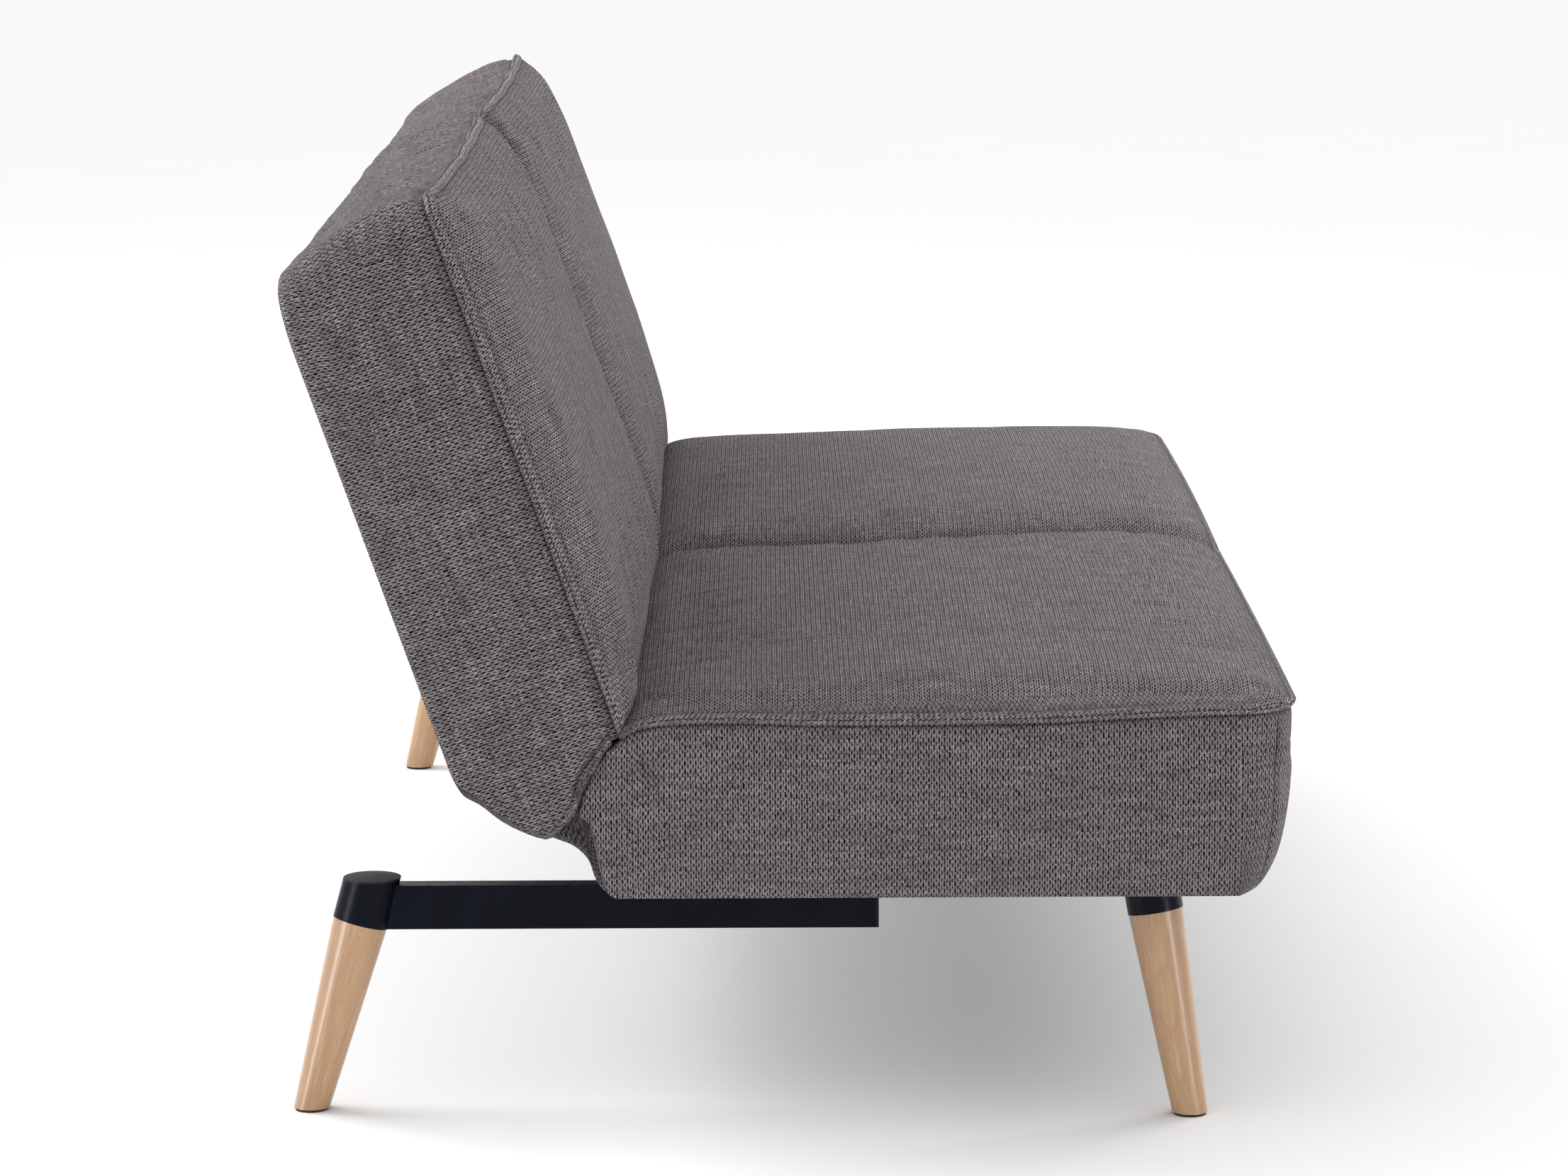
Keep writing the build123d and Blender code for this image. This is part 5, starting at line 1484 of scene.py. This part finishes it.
def gusset():
    ts = np.linspace(0, 1, 34)
    line = along(GUSSET, ts)
    tang = np.gradient(line, axis=0)
    tang /= np.linalg.norm(tang, axis=1)[:, None]
    nrm = np.stack([-tang[:, 1], tang[:, 0]], 1)
    xs = np.arange(-0.878, 0.8781, 0.0105)
    free = np.sin(np.clip(ts, 0, 1) * math.pi) ** 0.8
    g1, g2, g3 = lattice_noise(71, 64, 0.085), lattice_noise(72, 64, 0.028), lattice_noise(73, 64, 0.30)
    cols = []
    for x in xs:
        push = (0.0030 * g1(x, ts * 0.05) + 0.0012 * g2(x + 0.02 * ts, ts * 0.03) + 0.0020 * g3(x, 0 * ts)) * free
        p = line + nrm * push[:, None]
        cols.append(np.concatenate([np.full((len(ts), 1), x), p], 1))
    lo, hi = [], []
    for k, s in enumerate((0.04, 0.10, 0.19, 0.31, 0.45, 0.60, 0.75, 0.88, 0.96)):
        bulge = 0.0045 * math.sin(min(1.0, s * 1.2) * math.pi * 0.9)
        for sign, dest, first in ((-1, lo, cols[0]), (1, hi, cols[-1])):
            p = first[:, 1:] * (1 - s) + APEX * s
            wr = 0.0016 * g2(ts * 0.09 + k * 0.011, 0.05 + 0 * ts + k * 0.004) * math.sin(s * math.pi)
            x = sign * (0.878 + 0.006 * min(1.0, s * 5) ** 0.6 - bulge + wr)
            dest.append(np.stack([x, p[:, 0], p[:, 1]], 1))
    grid = np.stack(lo[::-1] + cols + hi, 0)
    b = Builder()
    # painted shade over the whole crease fabric, stronger on its closed ends
    shade = np.full(grid.shape[:2], 0.25)
    for k in range(len(lo)):
        shade[k] = shade[-1 - k] = 0.45
    b.grid(grid, metric_map(grid, 0.3, 0.0), tuck_and_painted_shade=shade, flip=False)
    # the darker copy of the knit: painted shade in the crease
    return b.object("crease_fabric", [M["knit_painted_shade"]])


gusset_ob = gusset()
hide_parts("crease_gusset")
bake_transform(gusset_ob)


# ------------------------------------------------------------------ dust cover, stapled up over the hem
def dust_cover():
    nx, ny = 177, 58
    hx, lo, hi = 0.868, -0.3975, 0.1270
    f = lambda n: np.unique(np.concatenate([[0, .002, .005, .009], np.linspace(.016, .984, n), [.991, .995, .998, 1]]))
    X, Y = np.meshgrid((f(nx) * 2 - 1) * hx, lo + f(ny) * (hi - lo), indexing="ij")
    d = np.minimum(hx - np.abs(X), np.minimum(Y - lo, hi - Y))
    n1, n2 = lattice_noise(81, 64, 0.14), lattice_noise(82, 64, 0.035)
    sag = 0.0022 * np.sin((X / hx * 0.5 + 0.5) * math.pi) ** 0.5 * np.sin((Y - lo) / (hi - lo) * math.pi) ** 0.7
    along_edge = X + Y
    pull = 0.0009 * np.cos(along_edge * 2 * math.pi / 0.062) * np.exp(-d / 0.016)
    z = 0.2110 - sag - (0.0006 + 0.0006 * n1(X, Y)) * (1 - np.exp(-d / 0.03)) - 0.0004 * n2(X, Y) * (1 - np.exp(-d / 0.02)) - np.abs(pull) * 0.6
    P = np.stack([X, Y, z], 2)
    b = Builder()
    b.grid(P, metric_map(P), flip=True)
    return b.object("dust_cover_cloth", [M["dust"]])


dust_ob = dust_cover()
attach(dust_ob, "base")
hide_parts("seat_dust_cover")


def staples():
    V, F = [], []
    hx, lo, hi = 0.8615, -0.3910, 0.1205
    spots = []
    for x in np.arange(-0.84, 0.841, 0.062):
        spots += [(x, lo, 0.0), (x, hi, 0.0)]
    for y in np.arange(lo + 0.03, hi - 0.02, 0.060):
        spots += [(-hx, y, 1.0), (hx, y, 1.0)]
    rng = np.random.default_rng(9)
    for (x, y, turn) in spots:
        a = turn * math.pi / 2 + rng.uniform(-.12, .12)
        x, y = x + rng.uniform(-.003, .003), y + rng.uniform(-.0012, .0012)
        e, s2 = np.array([math.cos(a), math.sin(a)]), np.array([-math.sin(a), math.cos(a)])
        prof = [(-.5, .0016), (-.5, -.0002), (-.42, -.0007), (.42, -.0007), (.5, -.0002), (.5, .0016)]
        i0 = len(V)
        for (t, h) in prof:
            for w in (-1, 1):
                q = np.array([x, y]) + e * t * 0.0105 + s2 * w * 0.0006
                V.append((q[0], q[1], 0.2098 + h))
            for w in (1, -1):
                q = np.array([x, y]) + e * t * 0.0095 + s2 * w * 0.0006
                V.append((q[0], q[1], 0.2098 + h + 0.0006))
        for k in range(len(prof) - 1):
            for j in range(4):
                F.append((i0 + 4 * k + j, i0 + 4 * k + (j + 1) % 4, i0 + 4 * k + 4 + (j + 1) % 4, i0 + 4 * k + 4 + j))
        F.append((i0 + 3, i0 + 2, i0 + 1, i0))
        e0 = i0 + 4 * (len(prof) - 1)
        F.append((e0, e0 + 1, e0 + 2, e0 + 3))
    me = bpy.data.meshes.new("dust_cover_staples")
    me.from_pydata(V, [], F)
    me.materials.append(M["zinc"])
    me.update()
    ob = bpy.data.objects.new("dust_cover_staples", me)
    scene.collection.objects.link(ob)
    return ob


staple_ob = staples()
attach(staple_ob, "base")

# ------------------------------------------------------------------ rail bolts with flat round heads
def rail_bolts():
    lo, frame_low = 0.1635, 0.2145
    prof = [(0.0, -.0003, "s"), (.0021, -.0003, "h"), (.0027, -.0008, "h"), (.0033, -.0009, "c"), (.0046, -.0009, "c"), (.0060, -.0008, "c"),
            (.0070, -.0006, "c"), (.0076, -.0003, "c"), (.0077, 0.0, "c"), (.0040, .0002, "c"), (.0040, frame_low + .0015 - lo, "c"),
            (.0064, frame_low + .0016 - lo, "x"), (.0066, frame_low + .0020 - lo, "x"), (.0066, frame_low + .0075 - lo, "x"),
            (.0062, frame_low + .0080 - lo, "x"), (.0040, frame_low + .0081 - lo, "c"), (.0040, .231 - lo, "c"), (.0034, .2316 - lo, "c")]
    V, F = [], []
    n = 36
    for sx in (-1, 1):
        for y in (-0.040, 0.105):
            rows = []
            for r, z, kind in prof[1:]:
                ring = []
                for k in range(n):
                    a = 2 * math.pi * k / n
                    hexa = math.cos(math.pi / 6) / math.cos((a + math.pi / 6) % (math.pi / 3) - math.pi / 6)
                    q = r * (hexa * 1.12 if kind in "hx" else 1.0)
                    ring.append(len(V))
                    V.append((sx * 0.780 + q * math.cos(a), y + q * math.sin(a), lo + z))
                rows.append(ring)
            for A, B in zip(rows, rows[1:]):
                for k in range(n):
                    F.append((A[k], A[(k + 1) % n], B[(k + 1) % n], B[k]))
            F.append(tuple(rows[0][::-1]))
            F.append(tuple(rows[-1]))
    me = bpy.data.meshes.new("rail_bolt_set")
    me.from_pydata(V, [], F)
    me.materials.append(M["coat"])
    me.polygons.foreach_set("use_smooth", np.array([len(f) == 4 for f in F]))
    me.update()
    ob = bpy.data.objects.new("rail_bolt_set", me)
    scene.collection.objects.link(ob)
    md = ob.modifiers.new("edges", "EDGE_SPLIT")
    md.split_angle = math.radians(38)
    return ob


bolt_ob = rail_bolts()
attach(bolt_ob, "base")
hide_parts("rail_bolts")

# ------------------------------------------------------------------ floor, light, world
floor_me = bpy.data.meshes.new("floor")
floor_me.from_pydata([(-30, -45, 0), (80, -45, 0), (80, 45, 0), (-30, 45, 0)], [], [(0, 1, 2, 3)])
floor = bpy.data.objects.new("floor", floor_me)
scene.collection.objects.link(floor)
ft = Tree("studio_floor")
fn = ft.noise(ft.object_coords(), 3.0, 2.0, 0.5)
ft.set(Base_Color=ft.mix(fn, (0.935, 0.935, 0.935), (0.955, 0.955, 0.955)), Roughness=0.9, Specular_IOR_Level=0.1)
floor_me.materials.append(ft.mat)

world = bpy.data.worlds.new("studio")
scene.world = world
world.use_nodes = True
world.node_tree.nodes["Background"].inputs[0].default_value = (1.0, 1.0, 1.0, 1.0)
world.node_tree.nodes["Background"].inputs[1].default_value = 1.0


def area(name, loc, target, size, power, color=(1, 1, 1)):
    L = bpy.data.lights.new(name, "AREA")
    L.shape, L.size, L.size_y, L.energy, L.color = "RECTANGLE", size[0], size[1], power, color
    o = bpy.data.objects.new(name, L)
    scene.collection.objects.link(o)
    o.location = loc
    o.rotation_mode = "QUATERNION"
    o.rotation_quaternion = (Vector(target) - Vector(loc)).to_track_quat("-Z", "Y")
    return o


area("front", (2.5, -3.9, 1.5), (0, 0, 0.5), (2.6, 1.8), 112)
area("over", (1.0, 3.1, 3.2), (0, 0.25, 0.65), (3.0, 2.0), 128)
# two tall soft strips that only draw the highlights on the steel cups and the wood
for strip in (area("edge", (-2.3, 3.5, 0.68), (-0.85, 0.3, 0.50), (0.90, 1.35), 52),
              area("edge_front", (-2.8, -2.6, 0.50), (-0.80, -0.35, 0.15), (0.36, 1.20), 34)):
    strip.visible_diffuse = False

scene.view_settings.view_transform = "Standard"
scene.view_settings.look = "None"
scene.view_settings.exposure = 0.0
